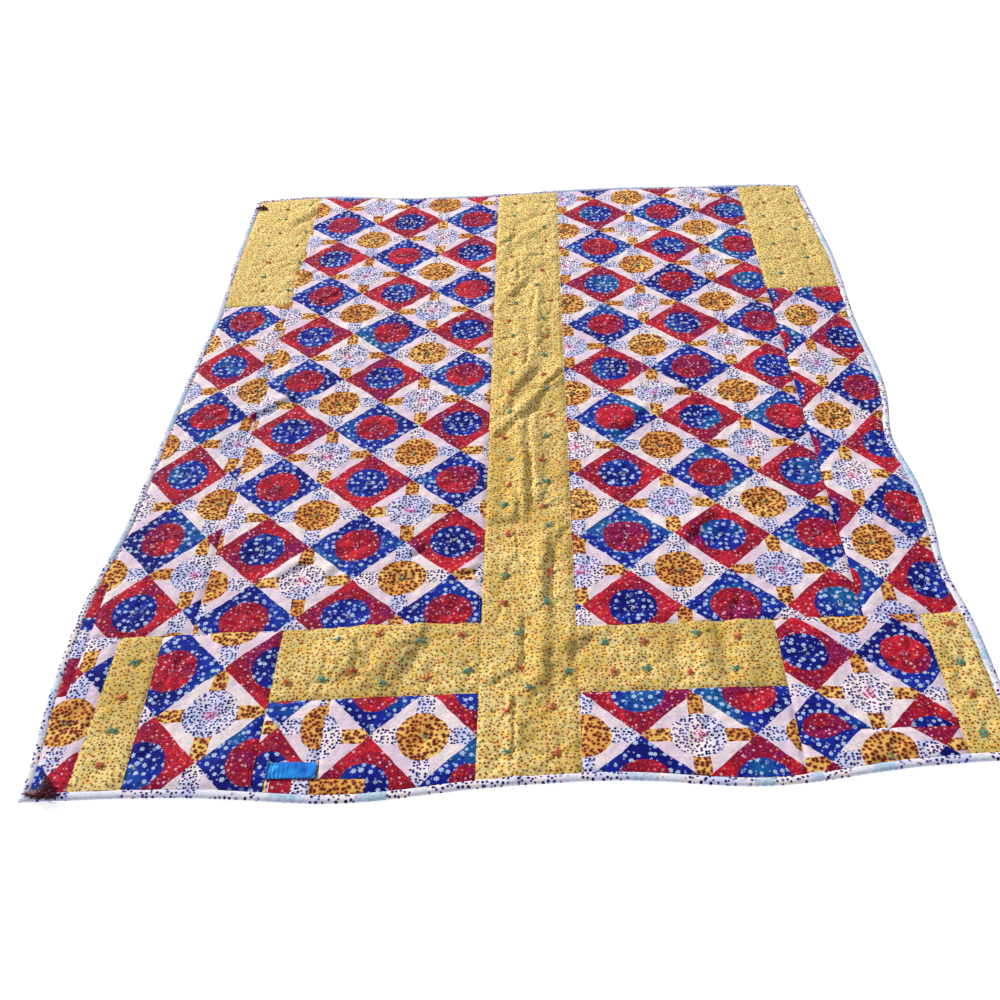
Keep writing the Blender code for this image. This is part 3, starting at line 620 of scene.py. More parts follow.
fabrics = {  # linear colours of the calicoes
    "blueShade": (0.002, 0.003, 0.075), "blueDeep": (0.003, 0.005, 0.190), "blueMid": (0.006, 0.024, 0.370),
    # the teal is partly the blue cloth's own teal and partly a painted sheen
    "blueTealAndSheen": (0.006, 0.120, 0.370),
    "daisy": (0.56, 0.68, 0.92), "paleBlue": (0.130, 0.300, 0.680),
    "redDeep": (0.340, 0.003, 0.018), "redBright": (0.620, 0.011, 0.027), "redMagenta": (0.270, 0.003, 0.078),
    "redFlower": (0.76, 0.24, 0.36), "redShade": (0.060, 0.002, 0.050),
    "mustard": (0.770, 0.400, 0.085), "mustardLight": (0.960, 0.680, 0.190),
    "mustardRing": (0.560, 0.120, 0.012), "mustardSpot": (0.095, 0.010, 0.022),
    "speckleGround": (0.660, 0.680, 0.940), "speckleDark": (0.006, 0.007, 0.120),
    "speckleBlue": (0.020, 0.060, 0.360),
    "speckleLilac": (0.200, 0.030, 0.330), "specklePink": (0.720, 0.060, 0.330),
    # white and whiteWarm are the white cloth's lavender and warm tones, and also its painted shaded and lit
    # copies
    "white": (0.875, 0.665, 0.800), "whiteWarm": (1.000, 0.860, 0.850), "vine": (0.480, 0.450, 0.600),
    "yellow": (0.735, 0.535, 0.158), "yellowLight": (0.950, 0.750, 0.298),
    "yellowDeep": (0.875, 0.502, 0.052),
    "orange": (0.800, 0.270, 0.050), "peach": (0.860, 0.420, 0.180), "brown": (0.090, 0.026, 0.010),
    "rust": (0.240, 0.022, 0.010), "leaf": (0.020, 0.090, 0.040), "sage": (0.300, 0.380, 0.190),
}


def splitColour(tree, colour):
    made = addNode(tree, "ShaderNodeSeparateColor")
    put(tree, made.inputs[0], colour)
    return made.outputs


def blueCalico(tree, at, wide):
    ground = mixColour(tree, ramp(tree, wide, 0.40, 0.54), fabrics["blueDeep"], fabrics["blueMid"])
    # painted sheen: lighter teal patches, partly the cloth's own teal and partly painted sheen of light on
    # the blue
    ground = mixColour(tree, ramp(tree, wide, 0.52, 0.66), ground, fabrics["blueTealAndSheen"])
    ground = mixColour(tree, ramp(tree, noiseAt(tree, at, 88.0, 1.0), 0.52, 0.66, 0.0, 0.62),
                       ground, fabrics["blueShade"])
    small, _, tint = flower(tree, vectorCalc(tree, "ADD", at, (3.31, 1.7, 0.0)), 82.0, 0.0023, 5, 0.28, 1.0)
    shown = calc(tree, "MULTIPLY", small, ramp(tree, tint, 0.30, 0.45, 0.0, 0.8))
    ground = mixColour(tree, shown, ground, mixColour(tree, tint, fabrics["paleBlue"], fabrics["daisy"]))
    daisy, out, tint = flower(tree, at, 54.0, 0.0049, 6, 0.17, 0.74)
    centre = calc(tree, "MULTIPLY", ramp(tree, out, 0.22, 0.34), ramp(tree, out, 0.60, 0.46, 0.0, 0.7))
    petal = mixColour(tree, centre, mixColour(tree, tint, fabrics["daisy"], (0.62, 0.78, 0.90)),
                      fabrics["paleBlue"])
    return mixColour(tree, calc(tree, "MULTIPLY", daisy, ramp(tree, tint, 0.04, 0.22, 0.25, 0.94)),
                     ground, petal)


def redCalico(tree, at, wide):
    ground = mixColour(tree, ramp(tree, wide, 0.36, 0.50), fabrics["redMagenta"], fabrics["redDeep"])
    ground = mixColour(tree, ramp(tree, wide, 0.48, 0.60), ground, fabrics["redBright"])
    shade = noiseAt(tree, at, 130.0, 1.0)
    ground = mixColour(tree, ramp(tree, shade, 0.57, 0.66, 0.0, 0.70), ground, fabrics["redShade"])
    curl = calc(tree, "ABSOLUTE", calc(tree, "SUBTRACT", noiseAt(tree, at, 70.0, 1.0), 0.46))
    ground = mixColour(tree, ramp(tree, curl, 0.016, 0.005, 0.0, 0.65), ground, fabrics["redShade"])
    tiny, _, tint = flower(tree, vectorCalc(tree, "ADD", at, (1.3, 5.1, 0.0)), 150.0, 0.0014, 4, 0.2, 1.0)
    ground = mixColour(tree, calc(tree, "MULTIPLY", tiny, ramp(tree, tint, 0.45, 0.60, 0.0, 0.6)), ground,
                       fabrics["redFlower"])
    bloom, out, tint = flower(tree, at, 80.0, 0.0030, 5, 0.26, 0.95)
    petal = mixColour(tree, ramp(tree, tint, 0.4, 0.8), fabrics["redFlower"], (0.86, 0.62, 0.74))
    petal = mixColour(tree, ramp(tree, tint, 0.84, 0.88), petal, (0.86, 0.22, 0.08))
    shown = calc(tree, "MULTIPLY", bloom, ramp(tree, tint, 0.30, 0.50, 0.10, 0.85))
    return mixColour(tree, shown, ground, petal)


def mustardCalico(tree, at, wide):
    # dark irregular spots, each ringed with orange-brown, in a light yellow net
    ground = mixColour(tree, ramp(tree, wide, 0.40, 0.62), fabrics["mustard"], fabrics["mustardLight"])
    bent = vectorCalc(tree, "ADD", at, vectorCalc(tree, "SCALE", noiseVector(tree, at, 140.0), scale=0.0034))
    spot = cells(tree, bent, 118.0)
    tint = splitColour(tree, spot.outputs["Color"])
    size = calc(tree, "MULTIPLY_ADD", tint[0], 0.25, 0.185)
    away = calc(tree, "SUBTRACT", spot.outputs["Distance"], size)
    ground = mixColour(tree, ramp(tree, away, 0.30, 0.10, 0.0, 0.85), ground, fabrics["mustardRing"])
    return mixColour(tree, ramp(tree, away, 0.07, -0.06, 0.0, 0.96), ground, fabrics["mustardSpot"])


def speckleCalico(tree, at, wide, scale=134.0, pinkness=None, size=(0.14, 0.25), lilac=0.84):
    # navy spots on white; size holds their spread and smallest radius, in cells
    bent = vectorCalc(tree, "ADD", at, vectorCalc(tree, "SCALE", noiseVector(tree, at, 190.0), scale=0.0022))
    spot = cells(tree, bent, scale, chance=0.80)
    tint = splitColour(tree, spot.outputs["Color"])
    reach = calc(tree, "MULTIPLY_ADD", tint[0], *size)
    inside = ramp(tree, calc(tree, "SUBTRACT", spot.outputs["Distance"], reach), 0.07, -0.05)
    dark = mixColour(tree, ramp(tree, tint[1], 0.55, 0.75), fabrics["speckleDark"], fabrics["speckleBlue"])
    dark = mixColour(tree, ramp(tree, tint[1], lilac, lilac + 0.06), dark, fabrics["speckleLilac"])
    if pinkness is not None:
        dark = mixColour(tree, pinkness, dark, fabrics["specklePink"])
    ground = mixColour(tree, ramp(tree, wide, 0.40, 0.62), fabrics["speckleGround"], fabrics["whiteWarm"])
    return mixColour(tree, inside, ground, dark)


def noiseVector(tree, at, scale):
    made = addNode(tree, "ShaderNodeTexNoise")
    put(tree, made.inputs["Vector"], at)
    made.inputs["Scale"].default_value = scale
    made.inputs["Detail"].default_value = 1.0
    return vectorCalc(tree, "SUBTRACT", made.outputs["Color"], (0.5, 0.5, 0.5))


def whiteCloth(tree, at, wide):
    # painted shade and light: broad patches of lavender white and warm white, partly the cloth's own uneven
    # tone and partly painted shade and light on its puckers
    ground = mixColour(tree, ramp(tree, wide, 0.38, 0.62), fabrics["white"], fabrics["whiteWarm"])
    vine = calc(tree, "ABSOLUTE", calc(tree, "SUBTRACT", noiseAt(tree, at, 95.0, 2.5), 0.5))
    return mixColour(tree, ramp(tree, vine, 0.055, 0.010, 0.0, 0.42), ground, fabrics["vine"])


def yellowCalico(tree, at, wide):
    # cream and yellow, thickly strewn with tiny dark, orange and green flowers
    ground = mixColour(tree, ramp(tree, wide, 0.36, 0.64), fabrics["yellow"], fabrics["yellowLight"])
    fine = noiseAt(tree, at, 60.0, 2.0)
    ground = mixColour(tree, ramp(tree, fine, 0.48, 0.64, 0.0, 0.75), ground, fabrics["yellowDeep"])
    along = addNode(tree, "ShaderNodeSeparateXYZ")
    put(tree, along.inputs[0], at)
    ground = mixColour(tree, ramp(tree, along.outputs[1], -0.35, 1.0, 0.0, 0.55),
                       ground, (1.0, 0.81, 0.30))  # painted light: paler towards the far end, standing in for the brighter light there
    leaf, _, tint = flower(tree, vectorCalc(tree, "ADD", at, (2.2, 0.7, 0.0)), 125.0, 0.0030, 2, 0.36, 1.0)
    ground = mixColour(tree, calc(tree, "MULTIPLY", leaf, ramp(tree, tint, 0.25, 0.40, 0.0, 0.60)), ground,
                       mixColour(tree, ramp(tree, tint, 0.55, 0.80), fabrics["sage"], (0.06, 0.26, 0.18)))
    bloom, out, tint = flower(tree, at, 112.0, 0.0040, 5, 0.20, 0.85)
    halo = mixColour(tree, ramp(tree, tint, 0.28, 0.40), fabrics["orange"], fabrics["peach"])
    halo = mixColour(tree, ramp(tree, tint, 0.58, 0.70), halo, fabrics["yellowDeep"])
    ground = mixColour(tree, calc(tree, "MULTIPLY", bloom, 0.66), ground, halo)
    heart = mixColour(tree, ramp(tree, tint, 0.22, 0.34), fabrics["rust"], fabrics["brown"])
    heart = mixColour(tree, ramp(tree, tint, 0.66, 0.74), heart, fabrics["leaf"])
    return mixColour(tree, ramp(tree, out, 0.74, 0.50, 0.0, 0.95), ground, heart)


def clothSurface(name, colour, roughness=0.86, sheen=0.02, crinkle=0.45):
    # a cotton finish: colour(tree, at) gives the colour, at is the place on the cloth in metres
    material = bpy.data.materials.new(name)
    material.use_nodes = True
    tree = material.node_tree
    shader = tree.nodes["Principled BSDF"]
    at = vectorCalc(tree, "MULTIPLY", addNode(tree, "ShaderNodeTexCoord").outputs["Object"], (1.0, 1.0, 0.0))
    tree.links.new(colour(tree, at), shader.inputs["Base Color"])
    tree.links.new(ramp(tree, noiseAt(tree, at, 35.0, 3.0), 0.3, 0.7, roughness - 0.08, roughness + 0.08),
                   shader.inputs["Roughness"])
    shader.inputs["Sheen Weight"].default_value = sheen
    shader.inputs["Sheen Roughness"].default_value = 0.5
    shader.inputs["Specular IOR Level"].default_value = 0.12
    weave = calc(tree, "ADD", calc(tree, "MULTIPLY", noiseAt(tree, at, 120.0, 3.0, 0.6), 0.8),
                 calc(tree, "MULTIPLY", noiseAt(tree, at, 1100.0, 1.0), 0.35))
    bump = addNode(tree, "ShaderNodeBump")
    bump.inputs["Strength"].default_value = crinkle
    bump.inputs["Distance"].default_value = 0.0012
    tree.links.new(weave, bump.inputs["Height"])
    tree.links.new(bump.outputs["Normal"], shader.inputs["Normal"])
    return material


printFacts = {"disc": 0.238, "whiteDisc": 0.247, "mustardTab": 0.073, "speckleTab": 0.090, "tabEnd": 0.486}


def printColour(tree, at):
    # diamonds tip to tip with discs in them; the squares between hold a disc with four tabs
    place = addNode(tree, "ShaderNodeUVMap", uv_map="pattern").outputs["UV"]
    wobble = vectorCalc(tree, "SCALE", noiseVector(tree, at, 22.0), scale=0.040)
    place = vectorCalc(tree, "ADD", place, wobble)
    split = addNode(tree, "ShaderNodeSeparateXYZ")
    put(tree, split.inputs[0], place)
    u, v = split.outputs[0], split.outputs[1]
    wide = noiseAt(tree, at, 5.5, 3.0, 0.6)
    tight = noiseAt(tree, vectorCalc(tree, "ADD", at, (4.0, 4.0, 0.0)), 9.0, 3.0, 0.6)

    nearU, nearV = calc(tree, "ROUND", u), calc(tree, "ROUND", v)
    du = calc(tree, "ABSOLUTE", calc(tree, "SUBTRACT", u, nearU))
    dv = calc(tree, "ABSOLUTE", calc(tree, "SUBTRACT", v, nearV))
    inDiamond = ramp(tree, calc(tree, "ADD", du, dv), 0.503, 0.497)
    isRed = calc(tree, "LESS_THAN", calc(tree, "PINGPONG", calc(tree, "ADD", nearU, nearV), 1.0), 0.5)
    diamondDisc = ramp(tree, calc(tree, "SQRT", calc(tree, "ADD", calc(tree, "POWER", du, 2.0),
                                                     calc(tree, "POWER", dv, 2.0))),
                       printFacts["disc"] + 0.003, printFacts["disc"] - 0.003)
    # red shows where the ground is red or the disc is red, but not both
    redHere = calc(tree, "ABSOLUTE", calc(tree, "SUBTRACT", isRed, diamondDisc))

    lowU, lowV = calc(tree, "FLOOR", u), calc(tree, "FLOOR", v)
    eu = calc(tree, "ABSOLUTE", calc(tree, "SUBTRACT", calc(tree, "SUBTRACT", u, lowU), 0.5))
    ev = calc(tree, "ABSOLUTE", calc(tree, "SUBTRACT", calc(tree, "SUBTRACT", v, lowV), 0.5))
    isMustard = calc(tree, "LESS_THAN", calc(tree, "PINGPONG", calc(tree, "ADD", lowU, lowV), 1.0), 0.5)
    reach = calc(tree, "SQRT", calc(tree, "ADD", calc(tree, "POWER", eu, 2.0), calc(tree, "POWER", ev, 2.0)))
    squareDisc = ramp(tree, reach, printFacts["whiteDisc"] + 0.003, printFacts["whiteDisc"] - 0.003)
    low, high = calc(tree, "MINIMUM", eu, ev), calc(tree, "MAXIMUM", eu, ev)
    half = calc(tree, "MULTIPLY_ADD", isMustard, printFacts["speckleTab"] - printFacts["mustardTab"],
                printFacts["mustardTab"])
    tab = calc(tree, "MULTIPLY", ramp(tree, calc(tree, "SUBTRACT", low, half), 0.003, -0.003),
               ramp(tree, high, printFacts["tabEnd"] + 0.003, printFacts["tabEnd"] - 0.003))
    anyPatch = calc(tree, "MAXIMUM", tab, squareDisc)
    # the disc is mustard and its tabs speckled, or the other way round
    mustardHere = calc(tree, "ABSOLUTE",
                       calc(tree, "SUBTRACT", calc(tree, "SUBTRACT", 1.0, isMustard), squareDisc))

    coloured = mixColour(tree, redHere, blueCalico(tree, at, wide), redCalico(tree, at, tight))
    pinkness = ramp(tree, reach, 0.095, 0.040, 0.0, 0.9)
    patch = mixColour(tree, mustardHere, speckleCalico(tree, at, tight, pinkness=pinkness),
                      mustardCalico(tree, at, tight))
    square = mixColour(tree, anyPatch, whiteCloth(tree, at, wide), patch)
    return mixColour(tree, inDiamond, square, coloured)


def stripColour(tree, at):
    # short lengths of different calicoes, one after another: the map's U counts them
    place = addNode(tree, "ShaderNodeUVMap", uv_map="pattern").outputs["UV"]
    split = addNode(tree, "ShaderNodeSeparateXYZ")
    put(tree, split.inputs[0], place)
    kind = split.outputs[0]
    wide = noiseAt(tree, at, 7.0, 3.0, 0.6)
    made = redCalico(tree, at, wide)
    for first, colour in ((1.0, speckleCalico(tree, at, wide)), (2.0, blueCalico(tree, at, wide)),
                          (3.0, mustardCalico(tree, at, wide)), (4.0, whiteCloth(tree, at, wide))):
        made = mixColour(tree, calc(tree, "GREATER_THAN", kind, first - 0.5), made, colour)
    return made


def bindingColour(tree, at):
    # navy-spotted white, with paler lengths of aqua and lavender: the map's U says how plain
    place = addNode(tree, "ShaderNodeUVMap", uv_map="pattern").outputs["UV"]
    split = addNode(tree, "ShaderNodeSeparateXYZ")
    put(tree, split.inputs[0], place)
    wide = noiseAt(tree, at, 9.0, 2.0)
    spotted = speckleCalico(tree, at, wide, 108.0, size=(0.14, 0.21), lilac=0.93)
    spotted = mixColour(tree, ramp(tree, noiseAt(tree, at, 15.0, 1.0), 0.53, 0.60, 0.0, 0.88),
                        spotted, (0.82, 0.84, 0.93))
    tint = mixColour(tree, ramp(tree, noiseAt(tree, at, 22.0, 2.0), 0.42, 0.58),
                     (0.40, 0.62, 0.80), (0.64, 0.68, 0.88))
    tint = mixColour(tree, ramp(tree, noiseAt(tree, at, 60.0, 2.0), 0.52, 0.62, 0.0, 0.5),
                     tint, (0.78, 0.82, 0.90))
    return mixColour(tree, calc(tree, "MULTIPLY", split.outputs[0], 0.84), spotted, tint)


noteTies()
surfaces = {
    "print": clothSurface("Diamond print cotton", printColour),
    "yellow": clothSurface("Yellow calico",
                           lambda tree, at: yellowCalico(tree, at, noiseAt(tree, at, 6.0, 3.0))),
    "backing": clothSurface("Pale cotton underside", lambda tree, at: mixColour(
        tree, noiseAt(tree, at, 40.0, 4.0), (0.70, 0.66, 0.58), (0.80, 0.77, 0.70))),
    "strip": clothSurface("Pieced strip cotton", stripColour),
    "binding": clothSurface("Spotted binding cotton", bindingColour, roughness=0.78),
}
print("materials ready")


def patternOf(panel, x, y, lattice):
    # the print's own map, in repeats; the cloth isn't quite square to its seams
    originX, originY, repeatX, repeatY, slope, lean, parity, mirrored = lattice
    bendX = 0.0012 * smoothNoise(x, y, 0.12, 31)
    bendY = 0.0012 * smoothNoise(x, y, 0.12, 32)
    a = (x - originX - lean * (y - originY) + bendX) / repeatX + parity
    b = (y - originY - slope * (x - originX) + bendY) / repeatY
    if "heldRow" in printPanels[panel]:
        b = np.maximum(b, printPanels[panel]["heldRow"])
    return np.stack([-a if mirrored else a, b], axis=-1)


panelSteps = {"yellow_centre": 0.62, "yellow_cross_left": 0.8, "yellow_cross_right": 0.8}  # finer meshes


def panelPiece(panel, sides, surface, lattice, lanes):
    x, y, s, t = panelGrid(panel, sides, quilt["fineStep"] * panelSteps.get(panel, 1.0))
    z = panelTop(panel, x, y)
    left, right, near, far = sides
    leftX, rightX = sideAt(panel, "left", left, y), sideAt(panel, "right", right, y)
    nearY, farY = sideAt(panel, "near", near, x), sideAt(panel, "far", far, x)
    distances = ((x - leftX, y), (rightX - x, y + 0.4), (y - nearY, x), (farY - y, x + 0.7))
    z = np.maximum(z + seamRelief(x, y, distances), 0.0014)
    top = np.stack([x, y, z], axis=-1)
    bottom = np.stack([x, y, np.maximum(0.0, np.minimum(z - 0.0010, foldHeight(x, y) + quilt["loft"]
                                                        - quilt["sheet"]))], axis=-1)
    pattern = patternOf(panel, x, y, lattice) if lattice else None
    piece = clothPiece("cloth_" + panel, top, bottom, (surface, surfaces["backing"]), pattern, lanes)
    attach(piece, "root")
    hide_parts(panel)
    return piece


for name, facts in printPanels.items():
    piece = panelPiece(name, facts["sides"], surfaces["print"], facts["lattice"], 2 if "main" in name else 1)
for name, facts in yellowPanels.items():
    lanes = {"yellow_centre": 4, "yellow_far_left": 2, "yellow_far_right": 2}.get(name, 1)
    piece = panelPiece(name, facts["sides"], surfaces["yellow"], None, lanes)
print("panels ready")


# Narrow pieced strips at the left and near edges

stripRuns = {  # where each calico ends along the strip: 0 red, 1 speckle, 2 blue, 3 mustard, 4 white
    "pieced_strip_left": ((-0.852, 0), (-0.773, 1), (-0.738, 2), (1.0, 0)),
    "pieced_strip_near": ((-0.474, 3), (-0.433, 0), (-0.399, 1), (1.0, 3)),
}


def stripPiece(name):
    gap = quilt["gap"]
    runs = stripRuns[name]
    if name == "pieced_strip_left":
        facts = strips["left"]
        t = np.linspace(facts["near"] + gap, facts["far"] - gap, 56)
        s = np.linspace(0.0, 1.0, 7)
        s, y = np.meshgrid(s, t)
        outer = edgeAt("left", y, quilt["binding"] + gap)
        x = outer + s * (facts["inner"] - gap - outer)
        across, along = x - outer, y
        room = facts["inner"] - gap - x
    else:
        facts = strips["near"]
        s, t = np.meshgrid(np.linspace(facts["left"] + gap, facts["right"] - gap, 36),
                           np.linspace(0.0, 1.0, 7))
        x = s
        outer = edgeAt("near", x, quilt["binding"] + gap)
        y = outer + t * (facts["inner"] - gap - outer)
        across, along = y - outer, x
        room = facts["inner"] - gap - y
    z = quilt["loft"] + foldHeight(x, y) + 0.0005 * np.sin(along * 310 + 2 * np.sin(along * 41))
    z = z - 0.0016 * np.exp(-0.5 * (np.minimum(across, room) / 0.004) ** 2)
    kinds = np.zeros_like(x)
    low = -9.0
    for high, kind in runs:
        kinds = np.where((along >= low) & (along < high), kind, kinds)
        low = high
    top = np.stack([x, y, z], axis=-1)
    bottom = np.stack([x, y, np.zeros_like(z)], axis=-1)
    piece = clothPiece("cloth_" + name, top, bottom, (surfaces["strip"], surfaces["backing"]),
                       np.stack([kinds, along], axis=-1), 1)
    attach(piece, "root")
    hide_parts(name)


for name in stripRuns:
    stripPiece(name)
print("pieced strips ready")


# Mended patch, gathered by its stitches into upright puckers

patch = {"left": -0.4848, "right": -0.3908, "near": -1.1460, "far": -1.1115,
         "thickness": 0.0012, "puckers": 13}


def patchColour(tree, at):
    shade = noiseAt(tree, vectorCalc(tree, "MULTIPLY", at, (26.0, 9.0, 1.0)), 2.0, 2.0)
    ground = mixColour(tree, ramp(tree, shade, 0.36, 0.62), (0.008, 0.140, 0.680), (0.020, 0.310, 0.900))
    return mixColour(tree, ramp(tree, noiseAt(tree, at, 30.0, 2.0), 0.58, 0.70), ground, (0.04, 0.44, 0.95))


def patchHeights(x, y):
    # the cloth under the patch, and the patch's own top: gathered most in its left third
    under = panelTop("print_under_left_outer", x, y)
    lap = np.maximum(under, quilt["loft"] + foldHeight(x, y)) + quilt["gap"] + 0.0004
    s = (x - patch["left"]) / (patch["right"] - patch["left"])
    t = (y - patch["near"]) / (patch["far"] - patch["near"])
    beat = s * patch["puckers"] * 2 * math.pi + 1.3 * np.sin(s * 11) + 0.5 * np.sin(t * 5)
    held = np.clip(np.minimum(t, 1 - t) * 6, 0.25, 1.0) * (0.14 + 0.95 * np.exp(-0.5 * (s / 0.22) ** 2))
    return lap, lap + patch["thickness"] + held * (0.0008 + 0.0006 * np.sin(beat)
                                                   + 0.0004 * np.sin(beat * 0.43 + 1.0))


def patchPiece():
    x, y = np.meshgrid(np.linspace(patch["left"], patch["right"], 92),
                       np.linspace(patch["near"], patch["far"], 26))
    lap, z = patchHeights(x, y)
    beat = (x - patch["left"]) / (patch["right"] - patch["left"]) * patch["puckers"] * 2 * math.pi
    t = (y - patch["near"]) / (patch["far"] - patch["near"])
    y = y + 0.0006 * np.sin(beat) * np.where(t > 0.5, 1, -1) * (np.abs(t - 0.5) * 2) ** 3
    piece = clothPiece("cloth_patch_blue", np.stack([x, y, z], -1), np.stack([x, y, lap], -1),
                       (clothSurface("Bright blue cotton patch", patchColour, roughness=0.7, crinkle=0.35),))
    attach(piece, "root")
    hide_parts("patch_blue")


patchPiece()
print("patch ready")


# Binding: a rolled strip round the edge, spotted in some lengths and plain in others

bindingFacts = {
    "profile": ((0.0, 0.0016), (0.0006, 0.0030), (0.0018, 0.0042), (0.0036, 0.0052), (0.0062, 0.0057),
                (0.0092, 0.0058), (0.0122, 0.0053), (0.0148, 0.0045), (0.0162, 0.0037), (0.0170, 0.0031)),
    "step": 0.0052,
    "pucker": 0.0005, "puckerSize": 0.013,
    "plain": {  # lengths without spots, from and to along each side
        "near": ((-0.475, -0.400), (-0.310, -0.255), (0.190, 0.245),
                 (0.420, 0.455), (0.520, 0.545), (0.640, 0.680)),
        "far": ((-0.700, -0.500), (-0.300, -0.180), (0.100, 0.420), (0.620, 0.760)),
        "left": ((-0.560, -0.440), (-0.100, 0.080), (0.360, 0.520), (0.800, 0.980)),
        "right": ((-0.900, -0.780), (-0.480, -0.250), (0.050, 0.350), (0.560, 0.820)),
    },
}


def bindingPiece(side):
    alongX = side in ("near", "far")
    ends = ("left", "right") if alongX else ("near", "far")
    corner = float(edgeAt(side, 0.0))
    inset = 0.0 if alongX else quilt["binding"] + quilt["gap"]
    low, high = (float(edgeAt(end, corner, inset)) for end in ends)
    count = int((high - low) / bindingFacts["step"])
    along, insets = np.meshgrid(np.linspace(low, high, count), [row[0] for row in bindingFacts["profile"]],
                                indexing="ij")
    pace = 2 * math.pi / bindingFacts["puckerSize"]
    beat = np.sin(along * pace + 1.8 * np.sin(along * 23) + insets * 160)
    plain = np.zeros_like(along)
    for start, stop in bindingFacts["plain"][side]:
        plain = np.maximum(plain, np.clip(np.minimum(along - start, stop - along) / 0.002 + 0.5, 0, 1))
    rim = 1 - insets / quilt["binding"]
    across = edgeAt(side, along, insets - 0.0005 * rim * beat * (0.6 + plain))
    if not alongX:
        shareNear = (along - low) / (high - low)
        nearEnd = edgeAt("near", across, inset)
        farEnd = edgeAt("far", across, inset)
        along = nearEnd + shareNear * (farEnd - nearEnd)
    x, y = (along, across) if alongX else (across, along)
    tops = np.array([row[1] for row in bindingFacts["profile"]])
    z = tops + foldHeight(x, y) + (bindingFacts["pucker"] * beat * (0.5 + 0.7 * plain)
                                   * np.clip(tops / 0.004 - 0.4, 0, 1))
    if alongX:
        fromEnd = np.minimum(along - low, high - along)
        z = z * np.clip(0.45 + fromEnd / 0.012, 0, 1)
    z = np.maximum(z, 0.0012)
    lift = np.maximum(0.0, np.minimum(z - 0.001, foldHeight(x, y) + quilt["loft"] - quilt["sheet"]))
    top, bottom = np.stack([x, y, z], -1), np.stack([x, y, lift], -1)
    pattern = np.stack([plain, along], -1)
    if alongX:
        top, bottom, pattern = (np.transpose(item, (1, 0, 2)) for item in (top, bottom, pattern))
        if side == "far":
            top, bottom, pattern = top[::-1], bottom[::-1], pattern[::-1]
    elif side == "right":
        top, bottom, pattern = top[:, ::-1], bottom[:, ::-1], pattern[:, ::-1]
    piece = clothPiece("cloth_binding_" + side, top, bottom,
                       (surfaces["binding"], surfaces["backing"]), pattern, 1)
    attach(piece, "root")
    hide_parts("binding_" + side)


for side in edges:
    bindingPiece(side)
print("binding ready")


# Yarn: ties, corner tufts and hand stitches are built from tubes

def tubeMesh(paths):
    # paths: (points, radii, sides); returns points and faces of closed tapered tubes
    points, faces, base = [], [], 0
    for line, radii, sides in paths:
        line = np.asarray(line, dtype=float)
        run = np.gradient(line, axis=0)
        run /= np.maximum(np.linalg.norm(run, axis=1, keepdims=True), 1e-9)
        side = np.cross(run, np.array([0.0, 0.0, 1.0]))
        flat = np.linalg.norm(side, axis=1, keepdims=True)
        side = np.where(flat > 0.05, side / np.maximum(flat, 1e-9), np.array([1.0, 0.0, 0.0]))
        rise = np.cross(side, run)
        turn = np.arange(sides) / sides * 2 * math.pi
        ring = (side[:, None, :] * np.cos(turn)[None, :, None]
                + rise[:, None, :] * np.sin(turn)[None, :, None])
        ring = line[:, None, :] + ring * np.asarray(radii)[:, None, None]
        count = len(line)
        points.append(ring.reshape(-1, 3))
        for k in range(count - 1):
            for m in range(sides):
                a, b = base + k * sides + m, base + k * sides + (m + 1) % sides
                faces.append((a, b, b + sides, a + sides))
        faces.append(tuple(base + m for m in range(sides))[::-1])
        faces.append(tuple(base + (count - 1) * sides + m for m in range(sides)))
        base += count * sides
    return np.concatenate(points), faces


def yarnMesh(name, points, faces, materials, slots):
    mesh = bpy.data.meshes.new(name)
    mesh.from_pydata((points + np.array([planShift[0], planShift[1], 0.0])).tolist(), [], faces)
    mesh.polygons.foreach_set("use_smooth", np.ones(len(faces), dtype=bool))
    for material in materials:
        mesh.materials.append(material)
    mesh.polygons.foreach_set("material_index", slots)
    mesh.update()
    piece = bpy.data.objects.new(name, mesh)
    bpy.context.scene.collection.objects.link(piece)
    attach(piece, "root")
    return piece


def yarnPiece(name, paths, material):
    points, faces = tubeMesh(paths)
    return yarnMesh(name, points, faces, (material,), [0] * len(faces))


def yarnSurface(name, dark, light, roughness=0.85, sheen=0.25):
    def colour(tree, at):
        strand = noiseAt(tree, vectorCalc(tree, "MULTIPLY", at, (1.0, 1.0, 1.0)), 480.0, 2.0)
        return mixColour(tree, ramp(tree, strand, 0.35, 0.65), dark, light)
    return clothSurface(name, colour, roughness, sheen=sheen, crinkle=0.8)


yarns = {  # colours of the ties: dark and light
    "teal": ((0.020, 0.200, 0.170), (0.140, 0.520, 0.430)),
    "brick": ((0.560, 0.040, 0.020), (0.860, 0.200, 0.110)),
    "rose": ((0.480, 0.080, 0.300), (0.800, 0.460, 0.640)),
    "white": ((0.420, 0.380, 0.470), (0.800, 0.760, 0.820)),
    "pink": ((0.560, 0.020, 0.200), (0.840, 0.120, 0.380)),
}


def heightAt(panel, x, y):
    return panelTop(panel, np.array([x]), np.array([y]))[0]


